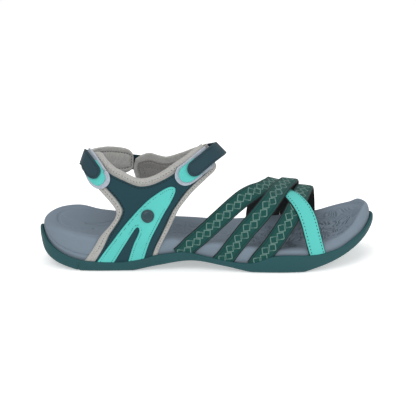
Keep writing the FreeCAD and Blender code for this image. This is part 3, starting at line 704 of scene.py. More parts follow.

# knitted fabric: small offset loops, painted darker towards each loop's edge as painted shade between
# the loops, a soft mottle, and a fibrous sheen from the material itself
knit, given, put = new_group(
    "knit_fabric",
    [("Colour", COLOUR, GREY), ("Loop Size", FLOAT, 1.0), ("Mottle", FLOAT, 0.2),
     ("Depth", FLOAT, 0.2)],
    [("Colour", COLOUR), ("Height", FLOAT)])
loops = cell_distance(knit, given["Loop Size"], 0.55)
# the colour darkens towards each loop's edge: painted shade in the gaps between loops
shade = 1.08 - loops * given["Depth"] + noise(knit, 60.0, 5.0) * given["Mottle"]
put("Colour", toned(knit, given["Colour"], shade))
put("Height", 1.0 - loops)


# the fourth argument sets the strength of the painted shade between the loops
def knit_material(name, colour, loop_size, depth, bump, sheen):
    return skin_material(name, knit, colour, 0.9, bump, dict(Sheen_Weight=sheen), Colour=(*colour, 1),
                         Loop_Size=loop_size, Depth=depth)


# synthetic leather: fine pebbled grain in shallow cells, painted darker in the crevices between the
# pebbles as painted shade, faintly cloudy
pebbled, given, put = new_group(
    "leather_grain",
    [("Colour", COLOUR, GREY), ("Cell", FLOAT, 0.8), ("Cloud", FLOAT, 0.12), ("Roughness", FLOAT, 0.5)],
    [("Colour", COLOUR), ("Roughness", FLOAT), ("Height", FLOAT)])
pebbles = cell_distance(pebbled, given["Cell"], feature="SMOOTH_F1")
# darker towards the cells' edges: painted shade in the crevices between the pebbles
shade = noise(pebbled, 45.0, 5.0) * given["Cloud"] + pebbles * -0.1 + 1.04
put("Colour", toned(pebbled, given["Colour"], shade))
put("Roughness", given["Roughness"].maths("ADD", pebbles * 0.2, clamp=True))
put("Height", 1.0 - pebbles)


def leather_material(name, colour, cell, cloud, roughness, sheen=0.0):
    return skin_material(name, pebbled, colour, roughness, 0.05,
                         dict(Sheen_Weight=sheen, Specular_IOR_Level=0.3), Colour=(*colour, 1),
                         Cell=cell, Cloud=cloud, Roughness=roughness)


black_knit = knit_material("black_knit", (0.007, 0.011, 0.012), 0.7, 0.4, 0.1, 0.1)
turquoise = leather_material("turquoise_leather", (0.085, 0.5, 0.455), 0.7, 0.14, 0.5)
dark_thread = knit_material("dark_thread", (0.0025, 0.008, 0.009), 0.3, 0.4, 0.05, 0.0)


def rim_floor(x, y):
    """The lowest a strap's tail reaches, inside the rubber rim."""
    return height(RUBBER_TOP, x, y) - 2.6


for strap_name, strap in FRONT_STRAPS.items():
    path = np.array(strap["path"], float)
    steps = np.hypot(np.diff(path[:, 0]), 0.6 * np.diff(path[:, 1]))
    rows = np.column_stack([np.concatenate([[0], np.cumsum(steps)]), path])
    line = along(rows, np.linspace(0, rows[-1, 0], 400))
    angles = np.radians(line[:, 1])
    route = Route(tunnel_point, tunnel_inside, line[:, 0], angles)
    lifts = along(strap["lift"], line[:, 1])

    def lift_at(s, route=route, lifts=lifts):
        return np.interp(s, route.run, lifts)

    # the tails end inside the rubber rim, under its top edge
    points = tunnel_point(line[:, 0], angles)
    buried = points[:, 2] < height(RUBBER_TOP, points[:, 0], points[:, 1]) - 2.5
    shown = np.nonzero(~buried)[0]
    first, last = route.run[shown[0]] - 1.5, route.run[shown[-1]] + 1.5
    under_strap = strap_mesh(strap_name + "_knit_lining", route, first, last, strap["width"] + 1.3,
                             lift_at, WEB_LINING_THICK, form_floor=rim_floor)
    dress(under_strap, black_knit, "root", [strap_name + "_lining"])

    def upper_low(s, lift_at=lift_at):
        return lift_at(s) + WEB_LINING_THICK - 0.05

    if strap_name != "toe_strap":
        half = strap["width"] / 2

        def woven(s, t, half=half):
            """Woven relief: a raised band inside each selvedge, with a groove along it."""
            inner = 0.1 * ease((half - 1.3 - np.abs(t)) / 0.4)
            return inner - 0.12 * np.exp(-((half - 1.25 - np.abs(t)) / 0.25) ** 2)

        web = strap_mesh(strap_name + "_jacquard", route, first, last, strap["width"], upper_low,
                         WEB_THICK, woven, columns=40, form_floor=rim_floor)
        dress(web, webbing, "root", [strap_name + "_web"])
    else:
        STITCH_IN = 1.5
        half = strap["width"] / 2

        def seamed(s, t, half=half):
            """Smooth leather, drawn in a little along each stitched seam, and softly crowned."""
            return (0.22 * ease((half - np.abs(t)) / half)
                    - 0.2 * np.exp(-((half - STITCH_IN - np.abs(t)) / 0.4) ** 2))

        leather = strap_mesh("toe_strap_leather", route, first, last, strap["width"], upper_low,
                             WEB_THICK, seamed, columns=36, form_floor=rim_floor)
        dress(leather, turquoise, "root", ["toe_strap_upper"])
        for edge_name, at_side in (("front", -1), ("rear", 1)):
            s = np.linspace(first, last, 300)
            seam, up = route.at(s, np.full(300, at_side * (half - STITCH_IN)), upper_low(s) + WEB_THICK)
            row = stitches("toe_strap_%s_stitches" % edge_name, seam, up, 2.7, 1.15, 0.36, 0.12)
            dress(row, dark_thread, "root")


# ------------------------------------------------------------------ ankle quarters
# Two padded quarters, sewn from a knit cover over foam: a rounded knit border runs all round, a dark
# synthetic nubuck shell is stitched on inside it, and both quarters are glued into the sole's rim.

ANKLE_X = -50.0
ANKLE_POWER = 2.3
ANKLE_BACK = [(30, -112), (50, -107), (60, -101), (70, -95.5), (85, -89), (100, -84)]
ANKLE_FRONT = [(30, 75), (50, 52), (70, 22), (80, 9), (90, 0), (100, -7)]
ANKLE_HALF = [(20, 30.5), (35, 29.5), (60, 26.5), (80, 24), (100, 22)]
BLEND_FROM, BLEND_OVER = 24.0, 26.0
LATERAL_REAR = [(32, 5), (38, 17), (43.5, 28.4), (50.3, 37.4), (52.9, 43.7), (50.4, 47.9),
                (43.4, 53.7), (31.2, 62), (23.4, 67.3), (14, 71), (7, 74.5), (6, 84)]
LATERAL_FRONT = [(106, 5), (107.5, 13.3), (116.2, 26.8), (129.2, 42.5), (141.1, 55),
                 (148.2, 62.1), (156.6, 69.3), (166.4, 77.5), (166, 93.7)]
LATERAL_TOP = [(6, 84), (15, 88), (25, 89), (34.8, 84.1), (44.2, 80), (56.8, 76.5), (74.9, 72.3),
               (86.8, 71.4), (103.3, 72.8), (121.6, 77.1), (136.4, 82.8), (148.5, 87.7),
               (157.4, 91.7), (166, 93.7)]
MEDIAL_REAR = [(52, 5), (54, 17), (58, 28), (67, 40), (75, 49), (77, 56), (73, 64), (76, 72.5)]
MEDIAL_FRONT = [(112, 5), (113, 15), (118, 28), (129, 42), (140, 54), (148, 62), (157, 70),
                (166, 77), (167, 87.5)]
MEDIAL_TOP = [(76, 72.5), (87, 75.8), (102, 77.4), (119, 75.1), (128, 74.3), (143, 77.8),
              (156, 83), (167, 87.5)]
BORDER_TOP, BORDER_SIDE = 6.0, 4.6
SKIVED, SKIVE_Z, SKIVE_OVER = 0.38, 14.0, 20.0

wall_angle = np.arctan2(-wall[:, 1], ANKLE_X - wall[:, 0])
wall_order = np.argsort(wall_angle)
wall_angle = wall_angle[wall_order]
wall_reach = np.hypot(wall[:, 0] - ANKLE_X, wall[:, 1])[wall_order]


def ankle_point(angle, z):
    """The ankle form's surface; angle in radians, 0 at the heel, positive to the outer side."""
    c, s = np.cos(angle), np.sin(angle)
    long_half = np.where(c > 0, ANKLE_X - along(ANKLE_BACK, z), along(ANKLE_FRONT, z) - ANKLE_X)
    total = (np.abs(c) / long_half) ** ANKLE_POWER + (np.abs(s) / along(ANKLE_HALF, z)) ** ANKLE_POWER
    turned = (np.asarray(angle) + math.pi) % (2 * math.pi) - math.pi
    low_radius = np.interp(turned, wall_angle, wall_reach, period=2 * math.pi)
    share = ease((z - BLEND_FROM) / BLEND_OVER)
    radius = low_radius * (1 - share) + total ** (-1 / ANKLE_POWER) * share
    return np.stack([ANKLE_X - radius * c, -radius * s, z + 0 * radius], -1)


def ankle_inside(angle, z):
    return np.stack([ANKLE_X + 0 * z, 0 * z, z], -1)


def ankle(angle, z, offset):
    """Points offset outwards from the ankle form, thinner near the sole; angle in degrees."""
    share = SKIVED + (1 - SKIVED) * ease((z - SKIVE_Z) / SKIVE_OVER)
    return on_form(ankle_point, ankle_inside, np.radians(angle), z, np.asarray(offset) * share)


class Quarter:
    """One ankle quarter: places (u, v), heel to instep and sole to top, on the ankle form."""

    def __init__(self, rear, front, top, hand):
        self.hand, self.top = hand, top
        low_z = rear[0][1]
        self.rear = [((z - low_z) / (rear[-1][1] - low_z), a, z) for a, z in rear]
        self.front = [((z - low_z) / (front[-1][1] - low_z), a, z) for a, z in front]
        self.ends = (rear[-1], front[-1])
        v = np.linspace(0, 1, 40)
        across = [self.at(np.full(40, u), v, 0)[0] for u in np.linspace(0, 1, 9)]
        self.widths = (v, sum(np.linalg.norm(across[k + 1] - across[k], axis=1) for k in range(8)))
        self.tall = np.linalg.norm(self.at(0.5, 1.0, 0)[0] - self.at(0.5, 0.0, 0)[0])

    def place(self, u, v):
        rear, front = along(self.rear, v), along(self.front, v)
        (rear_a, rear_z), (front_a, front_z) = self.ends
        top_angle = rear_a + (front_a - rear_a) * u
        dip = along(self.top, top_angle) - (rear_z + (front_z - rear_z) * u)
        angle = rear[..., 0] + (front[..., 0] - rear[..., 0]) * u
        return self.hand * angle, rear[..., 1] + (front[..., 1] - rear[..., 1]) * u + v * dip

    def at(self, u, v, offset):
        u, v = np.broadcast_arrays(np.asarray(u, float), np.asarray(v, float))
        return ankle(*self.place(u, v), offset)

    def width(self, v):
        return np.interp(v, *self.widths)

    def edge_gap(self, u, v):
        """About how far a place is from the quarter's side edges and top edge, in mm."""
        side = np.minimum(u, 1 - u) * self.width(v)
        top = (1 - v) * self.tall
        sharp = 3.0
        return (np.maximum(side, 1e-3) ** -sharp + np.maximum(top, 1e-3) ** -sharp) ** (-1 / sharp)


def sheet_pair(name, outer, inner):
    """A closed skin between two grids of points of the same size."""
    rows, columns = outer.shape[:2]
    points = np.concatenate([outer.reshape(-1, 3), inner.reshape(-1, 3)])
    r, c = np.meshgrid(np.arange(rows - 1), np.arange(columns - 1), indexing="ij")
    a = (r * columns + c).ravel()
    quads = np.stack([a, a + 1, a + columns + 1, a + columns], -1)
    shift = rows * columns
    faces = quads.tolist() + (quads[:, ::-1] + shift).tolist()
    rim = ([c for c in range(columns)] + [r * columns + columns - 1 for r in range(1, rows)]
           + [(rows - 1) * columns + c for c in range(columns - 2, -1, -1)]
           + [r * columns for r in range(rows - 2, 0, -1)])
    for k, corner in enumerate(rim):
        after = rim[(k + 1) % len(rim)]
        faces.append([after, corner, corner + shift, after + shift])
    return weld(new_object(name, points, faces), 0.002)


def crowd(count, low=0.0, high=1.0, power=0.72):
    """Places from low to high, closer together towards both ends."""
    t = np.linspace(-1, 1, count)
    t = np.sign(t) * (1 - (1 - np.abs(t)) ** (1 / power))
    return low + (high - low) * (t + 1) / 2


border_knit = knit_material("grey_knit", (0.43, 0.425, 0.405), 0.85, 0.5, 0.25, 0.35)
# the lining's knit is the border's grey knit painted darker: painted shade on the quarter's inner face
shaded_lining_knit = knit_material("shaded_lining_knit", (0.25, 0.243, 0.232), 1.1, 0.5, 0.2, 0.3)
nubuck = leather_material("teal_nubuck", (0.0095, 0.044, 0.058), 0.55, 0.22, 0.78, 0.03)
grey_thread = knit_material("grey_thread", (0.075, 0.08, 0.082), 0.3, 0.4, 0.05, 0.0)

quarters = {"lateral": Quarter(LATERAL_REAR, LATERAL_FRONT, LATERAL_TOP, 1),
            "medial": Quarter(MEDIAL_REAR, MEDIAL_FRONT, MEDIAL_TOP, -1)}


def round_over(gap, radius):
    """0 at an edge, rising like a quarter circle to 1 at radius from it."""
    return np.sqrt(np.clip(1 - (1 - np.clip(gap / radius, 0, 1)) ** 2, 0, 1))


def quarter_seam(quarter, side_in, top_in, offset, v_low=0.12):
    """Points and normals along a line inside a quarter's rear, top and front edges."""
    top_v = 1 - top_in / quarter.tall
    v = np.linspace(v_low, top_v, 90)
    inset = side_in / quarter.width(v)
    u_top = np.linspace(inset[-1], 1 - inset[-1], 140)
    u = np.concatenate([inset, u_top[1:-1], (1 - inset)[::-1]])
    v = np.concatenate([v, np.full(138, top_v), v[::-1]])
    return quarter.at(u, v, offset)


def dent(gap, at, width):
    """A narrow dent or ridge that follows an edge, at mm from it."""
    return np.exp(-((gap - at) / width) ** 2)


def lining_face(gap):
    return -0.3 - 0.25 * round_over(gap, 2.0) + (0.3 * dent(gap, 1.6, 0.5) + 0.22 * dent(gap, 6.5, 0.6))


def shell_face(gap):
    return 3.75 + 0.75 * round_over(gap, 0.8) - 0.22 * dent(gap, 1.5, 0.4)


def quarter_panel(name, quarter, margins, counts, outer, inner, finish, replaced):
    """A sheet inside a quarter's border, between two offsets; either may depend on the edge gap."""
    side_in, top_in = margins
    v_top = 1 - top_in / quarter.tall
    v_rows = crowd(counts[1], 0.02, v_top)
    inset = side_in / quarter.width(v_rows)
    u = inset[None, :] + (1 - 2 * inset[None, :]) * crowd(counts[0])[:, None]
    v = np.broadcast_to(v_rows, u.shape)
    side_gap = np.minimum(u - inset, 1 - inset - u) * quarter.width(v)
    gap = np.minimum(side_gap, (v_top - v) * quarter.tall)
    grids = [quarter.at(u, v, layer(gap) if callable(layer) else layer)[0] for layer in (outer, inner)]
    dress(sheet_pair(name, *grids), finish, "root", [replaced])


for side, quarter in quarters.items():
    u, v = np.meshgrid(crowd(150), crowd(130, 0.02, 1.0), indexing="ij")
    gap = quarter.edge_gap(u, v)
    # the border is a full round roll, drawn down where the shell's seam crosses it
    outer = (1.1 + 2.9 * round_over(gap, 2.4) - 0.9 * ease((gap - 3.4) / 1.6)
             + 0.07 * np.sin(v * quarter.tall * 2 * math.pi / 1.5) * ease((5 - gap) / 1))
    inner = 1.1 - 0.95 * round_over(gap, 1.8)
    grids = [quarter.at(u, v, layer)[0] for layer in (outer, inner)]
    cover = sheet_pair(side + "_quarter_padding", *grids)
    parts = ("_quarter_foam", "_rear_binding", "_front_binding", "_top_binding")
    dress(cover, border_knit, "root", [side + part for part in parts])

    # the lining panel inside, with its own stitched edge
    quarter_panel(side + "_quarter_lining_panel", quarter, (4.4, 5.2), (100, 90), 0.45, lining_face,
                  shaded_lining_knit, side + "_quarter_lining")
    for row, (side_in, top_in) in enumerate(((6.0, 6.8), (10.9, 11.7))):
        seam, up = quarter_seam(quarter, side_in, top_in, -0.3, 0.3)
        line = stitches("%s_lining_stitches_%d" % (side, row), seam, -up, 2.3, 1.3, 0.26, 0.1)
        dress(line, grey_thread, "root")

    # the nubuck shell, its edge turned down on the knit
    quarter_panel(side + "_nubuck_shell", quarter, (BORDER_SIDE, BORDER_TOP), (110, 110), shell_face,
                  2.9, nubuck, side + "_quarter_shell")
    seam, up = quarter_seam(quarter, BORDER_SIDE + 1.2, BORDER_TOP + 1.2, 4.4)
    line = stitches(side + "_shell_stitches", seam, up, 2.5, 1.6, 0.4, 0.04)
    dress(line, dark_thread, "root")
    seam, up = quarter_seam(quarter, 2.4, 3.0, 4.0)
    line = stitches(side + "_border_stitches", seam, up, 2.4, 1.1, 0.3, 0.08)
    dress(line, grey_thread, "root")


# ------------------------------------------------------------------ turquoise overlays and badge
# A wishbone cut from turquoise synthetic leather, with a raised rolled edge, is sewn on each shell with
# dark thread all round and inside its slot. The outer one carries a small moulded badge, a plain ring.

WISHBONE = [(-88.5, 4), (-84.5, 10), (-70.8, 29.2), (-58.6, 43), (-48.3, 54), (-37.2, 62),
            (-30.5, 65), (-27, 64.3), (-26.4, 61.5), (-28.9, 55.4), (-37.4, 40), (-45.1, 25.9),
            (-50.4, 10.3), (-52, 4)]
WISHBONE_SLOT = [(-75.5, 4), (-72, 9.5), (-62.7, 25.2), (-57.5, 33), (-55, 34.8), (-53.9, 32.2),
                 (-58.1, 22.2), (-62.1, 9.5), (-63.6, 4)]
BADGE_AT = (-47.5, 42.9)
BADGE_RADIUS = 5.0


def open_curve(points, spacing):
    """Evenly spaced points of a smooth open curve through points."""
    p = np.array(points, float)
    chord = np.concatenate([[0], np.cumsum(np.linalg.norm(np.diff(p, axis=0), axis=1))])
    rows = np.column_stack([chord, p])
    fine = along(rows, np.linspace(0, chord[-1], 2000))
    run = np.concatenate([[0], np.cumsum(np.linalg.norm(np.diff(fine, axis=0), axis=1))])
    at = np.linspace(0, run[-1], max(int(run[-1] / spacing), 8))
    return np.stack([np.interp(at, run, fine[:, k]) for k in range(2)], -1)


def gap_to(points, loop):
    """Distance of plan points to a closed polyline, by its segments."""
    nearest = np.full(len(points), 1e9)
    for a, b in zip(loop, np.roll(loop, -1, 0)):
        run = b - a
        share = np.clip(((points - a) @ run) / max(run @ run, 1e-9), 0, 1)
        nearest = np.minimum(nearest, np.linalg.norm(points - a - share[:, None] * run, axis=1))
    return nearest


def inside_loop(points, loop):
    hits = np.zeros(len(points), bool)
    for (x0, y0), (x1, y1) in zip(loop, np.roll(loop, -1, 0)):
        if y0 != y1:
            crosses = (y0 > points[:, 1]) != (y1 > points[:, 1])
            hits ^= crosses & (points[:, 0] < x0 + (x1 - x0) * (points[:, 1] - y0) / (y1 - y0))
    return hits


def inset_lines(loop, inset):
    """The points inset mm inside a closed outline, for each hand of its line."""
    for hand in (-1, 1):
        moved = loop + inwards(loop) * inset * hand
        yield moved[inside_loop(moved, loop) & (gap_to(moved, loop) > inset * 0.93)]


def on_side(points, offset, hand):
    """Puts (x, z) on the outer (1) or inner (-1) side of the ankle form, at an offset."""
    x, z = points[:, 0], points[:, 1]
    low, high = np.full(len(x), 0.05), np.full(len(x), math.pi - 0.05)
    for _ in range(26):
        middle = (low + high) / 2
        beyond = ankle_point(middle * hand, z)[:, 0] > x
        low, high = np.where(beyond, low, middle), np.where(beyond, middle, high)
    return ankle(np.degrees(hand * (low + high) / 2), z, offset)


def cut_piece(name, loop, hand, relief_of, bottom, spacing=1.1):
    """A closed sheet cut to an outline; relief_of(gap) is its upper face, gap mm from the edge."""
    low, high = loop.min(0), loop.max(0)
    seeds = []
    for row, y in enumerate(np.arange(low[1], high[1], spacing * 0.866)):
        xs = np.arange(low[0] + (row % 2) * spacing / 2, high[0], spacing)
        seeds.append(np.column_stack([xs, np.full(len(xs), y)]))
    seeds = np.concatenate(seeds)
    seeds = seeds[inside_loop(seeds, loop)]
    seeds = seeds[gap_to(seeds, loop) > spacing * 1.25]
    lines = [line for inset in (0.18, 0.5, 0.9) for line in inset_lines(loop, inset)]
    edges = [(k, (k + 1) % len(loop)) for k in range(len(loop))]
    points = [Vector(point) for point in np.concatenate([loop, *lines, seeds])]
    made = delaunay_2d_cdt(points, edges, [], 0, 1e-5)
    flat = np.array([tuple(point) for point in made[0]])
    faces = np.array([face for face in made[2] if len(face) == 3])
    faces = faces[inside_loop(flat[faces].mean(1), loop)]
    used, faces = np.unique(faces, return_inverse=True)
    flat, faces = flat[used], faces.reshape(-1, 3)
    top = on_side(flat, relief_of(gap_to(flat, loop)), hand)[0]
    under_side = on_side(flat, np.full(len(flat), bottom), hand)[0]
    sides = {pair for a, b, c in faces.tolist() for pair in ((a, b), (b, c), (c, a))}
    shift = len(flat)
    skirt = [(b, a, a + shift, b + shift) for a, b in sorted(sides) if (b, a) not in sides]
    all_faces = faces.tolist() + (faces[:, ::-1] + shift).tolist() + skirt
    return weld(new_object(name, np.concatenate([top, under_side]), all_faces), 0.002)


def rolled(gap):
    """A raised rolled edge, a groove at the stitch line, and a slightly full middle."""
    return (4.55 + 1.0 * round_over(gap, 0.55) + 0.3 * dent(gap, 0.75, 0.4)
            - 0.25 * dent(gap, 1.75, 0.4) + 0.1 * ease((gap - 2) / 4))


# the slot is open at the sole, so the wishbone is one outline that runs round it
wishbone_loop = np.concatenate([open_curve(WISHBONE, 0.8), open_curve(WISHBONE_SLOT, 0.8)[::-1]])
seam_line = max(inset_lines(wishbone_loop, 1.75), key=len)
seam_line = seam_line[seam_line[:, 1] > 7]
breaks = np.nonzero(np.linalg.norm(np.diff(seam_line, axis=0), axis=1) > 4)[0] + 1
for side, hand in (("lateral", 1), ("medial", -1)):
    overlay = cut_piece(side + "_wishbone", wishbone_loop, hand, rolled, 4.2)
    dress(overlay, turquoise, "root", [side + "_overlay"])
    for index, run in enumerate(np.split(seam_line, breaks)):
        if len(run) > 6:
            seam, up = on_side(run, np.full(len(run), 5.45), hand)
            line = stitches("%s_wishbone_stitches_%d" % (side, index), seam, up, 1.7, 1.15, 0.26, 0.1)
            dress(line, dark_thread, "root")

badge_rubber = moulded_material("badge_rubber", (0.009, 0.043, 0.054), 0.12, 0.4, 0.2, 0.4, 0.04)
BADGE_PROFILE = [(1.0, 4.9), (1.0, 6.1), (0.97, 6.5), (0.92, 6.72), (0.86, 6.78), (0.8, 6.7),
                 (0.76, 6.45), (0.72, 6.35), (0.66, 6.4), (0.6, 6.62), (0.5, 6.72), (0.35, 6.8),
                 (0.2, 6.84), (0.02, 6.85)]
turn = np.linspace(0, 2 * math.pi, 72, endpoint=False)
circle = BADGE_RADIUS * np.column_stack([np.cos(turn), np.sin(turn)])
rings = [on_side(BADGE_AT + circle * reach, np.full(72, offset), 1)[0]
         for reach, offset in BADGE_PROFILE]
badge_faces = ring_faces(len(rings), 72)
badge_faces += [list(range(72))[::-1], list(range((len(rings) - 1) * 72, len(rings) * 72))]
badge = weld(new_object("lateral_ring_badge", np.concatenate(rings), badge_faces), 0.002)
dress(badge, badge_rubber, "root", ["lateral_badge"])


# ------------------------------------------------------------------ heel collar
# A padded collar of the same knit and foam closes the ankle opening round the heel from the outer
# quarter; a stitched inner panel lies against the heel, and its free end stands on the inner side.

COLLAR_TOP = [(-73, 74), (-70.5, 77.5), (-62, 81.2), (-36, 84.4), (-25, 84.7), (0, 85.5), (5, 85.5)]
COLLAR_BOTTOM = [(-73, 67), (-70.5, 63.8), (-60, 61.1), (-40, 62.5), (-20, 66.5), (0, 70.5), (5, 71)]


def collar_at(u, v, offset):
    angle = COLLAR_TOP[0][0] + (COLLAR_TOP[-1][0] - COLLAR_TOP[0][0]) * u
    low, high = along(COLLAR_BOTTOM, angle), along(COLLAR_TOP, angle)
    return ankle(angle, low + (high - low) * v, offset)


COLLAR_LENGTH, COLLAR_TALL = 72.0, 19.0
u, v = np.meshgrid(crowd(130), crowd(70), indexing="ij")
gap = np.minimum(u * COLLAR_LENGTH, np.minimum(v, 1 - v) * COLLAR_TALL)
outer = 1.2 + 3.0 * round_over(gap, 3.0)
inner = 1.2 - 0.9 * round_over(gap, 2.2) + 0.55 * dent(gap, 3.6, 0.7) - 0.5 * ease((gap - 4.2) / 3)
collar = sheet_pair("heel_collar_padding", collar_at(u, v, outer)[0], collar_at(u, v, inner)[0])
dress(collar, border_knit, "root",
      ["heel_collar_lining", "heel_collar_foam", "heel_collar_cover"])
IN_U, IN_V = 3.6 / COLLAR_LENGTH, 3.6 / COLLAR_TALL
line_u = np.concatenate([np.linspace(0.93, IN_U, 90), np.full(30, IN_U), np.linspace(IN_U, 0.93, 90)])
line_v = np.concatenate([np.full(90, IN_V), np.linspace(IN_V, 1 - IN_V, 30), np.full(90, 1 - IN_V)])
seam, up = collar_at(line_u, line_v, 0.7)
line = stitches("heel_collar_stitches", seam, -up, 2.3, 1.3, 0.26, 0.0)
dress(line, grey_thread, "root")


# ------------------------------------------------------------------ heel strap and instep strap
# Two straps of dark synthetic leather, each sewn to the inner quarter, go round the ankle and close on
# the outer quarter by hook and loop: a rounded tab over a turquoise tip patch and a brushed loop patch.

STRAP_WIDTH = 12.8
ANKLE_STRAPS = {
    "heel": dict(
        path=[(-110, 66), (-95, 66.8), (-78, 68), (-60, 69.5), (-30, 73.5), (-10, 77.2), (0, 79.6),
              (8, 81.3), (14, 81.2), (19.5, 78.8), (24.5, 75.7), (31, 70.8), (36, 69.2), (42, 67.5)],
        span=(-110, 42), bend=(1.5, 13.5), tip=31, turquoise_tip=37.5, loop_from=10, loop_tip=42,
        low=[(-110, 5.1), (-8, 5.1), (8, 6.6), (15, 7.4), (42, 7.4)],
        body="heel_tab", replaced=["heel_strap", "heel_tab"]),
    "ankle": dict(
        path=[(134.5, 70), (140, 72), (147, 75.3), (154, 79.5), (162, 83.3), (169, 84.7), (175, 84.6),
              (182, 83.4), (190, 81), (197, 78.6), (207, 73.5), (216, 69), (225, 66)],
        span=(225, 134.5), bend=(203, 191), tip=145.5, turquoise_tip=138, loop_from=164, loop_tip=134.5,
        low=[(134.5, 7.4), (163, 7.4), (176, 5.7), (205, 5.2), (225, 5.1)],
        body="ankle_strap", replaced=["ankle_strap_base", "ankle_strap"]),
}


def strap_relief(half, tip_at, stitch_in):
    """A stitched groove inside a strap's edges and round its tip, which is at tip_at mm."""
    def shape(s, t):
        gap = half - np.hypot(np.maximum(s - (tip_at - half), 0), t)
        return 0.15 * ease(gap / half) - 0.2 * dent(gap, stitch_in, 0.35)
    return shape


def tab_seam(route, start, tip_at, half, inset, offset):
    """The stitch line along one edge of a tab, round its tip and back; offset(s) is its height."""
    centre, r = tip_at - half, half - inset
    turn = np.linspace(-math.pi / 2, math.pi / 2, 40)
    there = np.linspace(start, centre, 160)
    s = np.concatenate([there, centre + r * np.cos(turn), there[::-1]])
    t = np.concatenate([np.full(160, -r), r * np.sin(turn), np.full(160, r)])
    return route.at(s, t, offset(s))


strap_leather = leather_material("teal_strap_leather", (0.013, 0.042, 0.058), 0.6, 0.2, 0.66, 0.03)
lavender = knit_material("lavender_loop_pile", (0.44, 0.50, 0.58), 0.8, 0.35, 0.3, 0.5)
hook_tape = knit_material("black_hook_tape", (0.012, 0.012, 0.014), 0.9, 0.5, 0.3, 0.0)


def loop_pile(name, route, start, end, width, offset, count, seed):
    """Small fibres standing over a loop patch."""
    draw = np.random.default_rng(seed)
    s, t = draw.uniform(start, end, count), draw.uniform(-width / 2, width / 2, count)
    inside = np.hypot(np.maximum(s - (end - width / 2), 0), t) < width / 2 - 0.2
    s, t = s[inside], t[inside]
    foot, up = route.at(s, t, np.full(len(s), offset))
    lean = draw.normal(0, 0.45, foot.shape)
    wide = draw.normal(0, 1, foot.shape)
    wide = 0.07 * wide / np.linalg.norm(wide, axis=1)[:, None]
    tall = draw.uniform(0.35, 0.8, len(s))[:, None]
    tip = foot + up * tall + lean * tall
    verts = np.stack([foot - wide, foot + wide, tip], 1).reshape(-1, 3)
    faces = np.arange(len(verts)).reshape(-1, 3).tolist()
    return new_object(name, verts, faces)


for strap_name, strap in ANKLE_STRAPS.items():
    angle = np.linspace(*strap["span"], 500)
    route = Route(ankle_point, ankle_inside, np.radians(angle), along(strap["path"], angle))
    order = np.argsort(angle)
    tip, turquoise_tip, loop_from, loop_tip = [
        np.interp(strap[key], angle[order], route.run[order])
        for key in ("tip", "turquoise_tip", "loop_from", "loop_tip")]
    bend = [route.at(np.interp(at, angle[order], route.run[order]), 0.0, 7.4)[0] * MM
            for at in strap["bend"]]

    def low_at(s, run=route.run, angle=angle, rows=strap["low"]):
        return along(rows, np.interp(s, run, angle))

    # the strap and its tab are one piece
    strap_piece = strap_mesh(strap_name + "_strap_leather", route, 0, tip, STRAP_WIDTH, low_at, 1.2,
                             strap_relief(STRAP_WIDTH / 2, tip, 1.5), (0, 1), 0.7, 34)
    dress(strap_piece, strap_leather, None, strap["replaced"])
    seam, up = tab_seam(route, loop_from - 3, tip, STRAP_WIDTH / 2, 1.5, lambda s: low_at(s) + 1.2)
    line = stitches(strap_name + "_tab_stitches", seam, up, 1.9, 1.15, 0.24, 0.14)
    dress(line, dark_thread, None)
    for piece in (strap_piece, line):
        tuple(bend[0])
        tuple(bend[1])
        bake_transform(piece)

    hook = strap_mesh(strap_name + "_hook_tape", route, loop_from + 2, tip - 4.8, 10.0, 6.55, 0.8,
                      step=0.7, columns=26)
    dress(hook, hook_tape, strap["body"], [strap["body"] + "_hook"])

    loop_piece = strap_mesh(strap_name + "_loop_patch_knit", route, loop_from, loop_tip, 17.0, 4.75,
                            0.9, None, (0, 1), 0.7, 34)
    dress(loop_piece, lavender, "root", [strap_name + "_loop_patch"])
    pile = loop_pile(strap_name + "_loop_pile", route, loop_from, loop_tip, 17.0, 5.55, 5200, 7)
    dress(pile, lavender, "root")

    tip_piece = strap_mesh(strap_name + "_tip_patch_leather", route, turquoise_tip - 16, turquoise_tip,
                           13.5, 5.8, 0.9, strap_relief(6.75, turquoise_tip, 1.2), (0, 1), 0.6, 30)
    dress(tip_piece, turquoise, "root", [strap_name + "_tip_patch"])


# ------------------------------------------------------------------ floor, lights and camera
# A plain pale floor, soft studio light from above and both sides, and the view of the outer side.

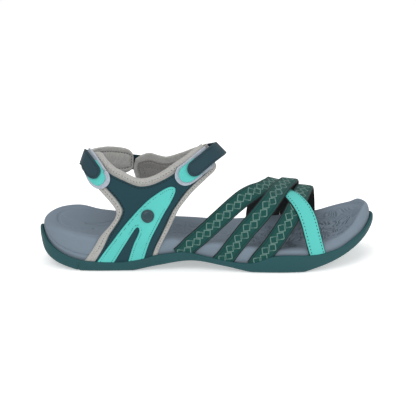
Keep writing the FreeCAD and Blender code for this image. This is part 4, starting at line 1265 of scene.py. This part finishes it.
floor = new_object("floor", [(-1500, -1500, 0), (1500, -1500, 0), (1500, 1500, 0), (-1500, 1500, 0)],
                   [(0, 1, 2, 3)], smooth=False)
floor.location.z = -0.0002
pale, _, pale_shader = material("pale_floor", (0.86, 0.86, 0.86), 0.7)
pale_shader.inputs["Emission Color"].default_value = (1, 1, 1, 1)
pale_shader.inputs["Emission Strength"].default_value = 0.42
floor.data.materials.append(pale)

world = bpy.data.worlds.new("studio")
bpy.context.scene.world = world
world.use_nodes = True
world.node_tree.nodes["Background"].inputs["Color"].default_value = (1, 1, 1, 1)
world.node_tree.nodes["Background"].inputs["Strength"].default_value = 0.5


def lamp(name, place, aim, size, watts):
    data = bpy.data.lights.new(name, "AREA")
    data.shape = "RECTANGLE"
    data.size, data.size_y = size
    data.energy = watts
    made = bpy.data.objects.new(name, data)
    bpy.context.scene.collection.objects.link(made)
    made.location = place
    made.rotation_euler = (Vector(aim) - Vector(place)).to_track_quat("-Z", "Y").to_euler()


lamp("key", (-0.5, -1.0, 1.1), (0, 0, 0.04), (0.9, 0.9), 9)
lamp("fill", (0.9, -0.7, 0.6), (0, 0, 0.04), (0.8, 0.8), 4)
lamp("top", (0.0, 0.3, 1.3), (0, 0, 0.04), (1.2, 0.8), 5)

bpy.context.scene.view_settings.view_transform = "Standard"
CAMERA_DISTANCE, CAMERA_AZIMUTH, CAMERA_ELEVATION = 1.3, -2.5, 17.0
VIEW_WIDTH = 0.3257
target = Vector((0, 0, 0.0393))
a, e = math.radians(CAMERA_AZIMUTH), math.radians(CAMERA_ELEVATION)
away = Vector((math.sin(a) * math.cos(e), -math.cos(a) * math.cos(e), math.sin(e)))
camera_data = bpy.data.cameras.new("camera")
camera_data.sensor_width = 36
camera_data.lens = 36 * CAMERA_DISTANCE / VIEW_WIDTH
camera = bpy.data.objects.new("camera", camera_data)
bpy.context.scene.collection.objects.link(camera)
camera.location = target + away * CAMERA_DISTANCE
camera.rotation_euler = (-away).to_track_quat("-Z", "Y").to_euler()
bpy.context.scene.camera = camera
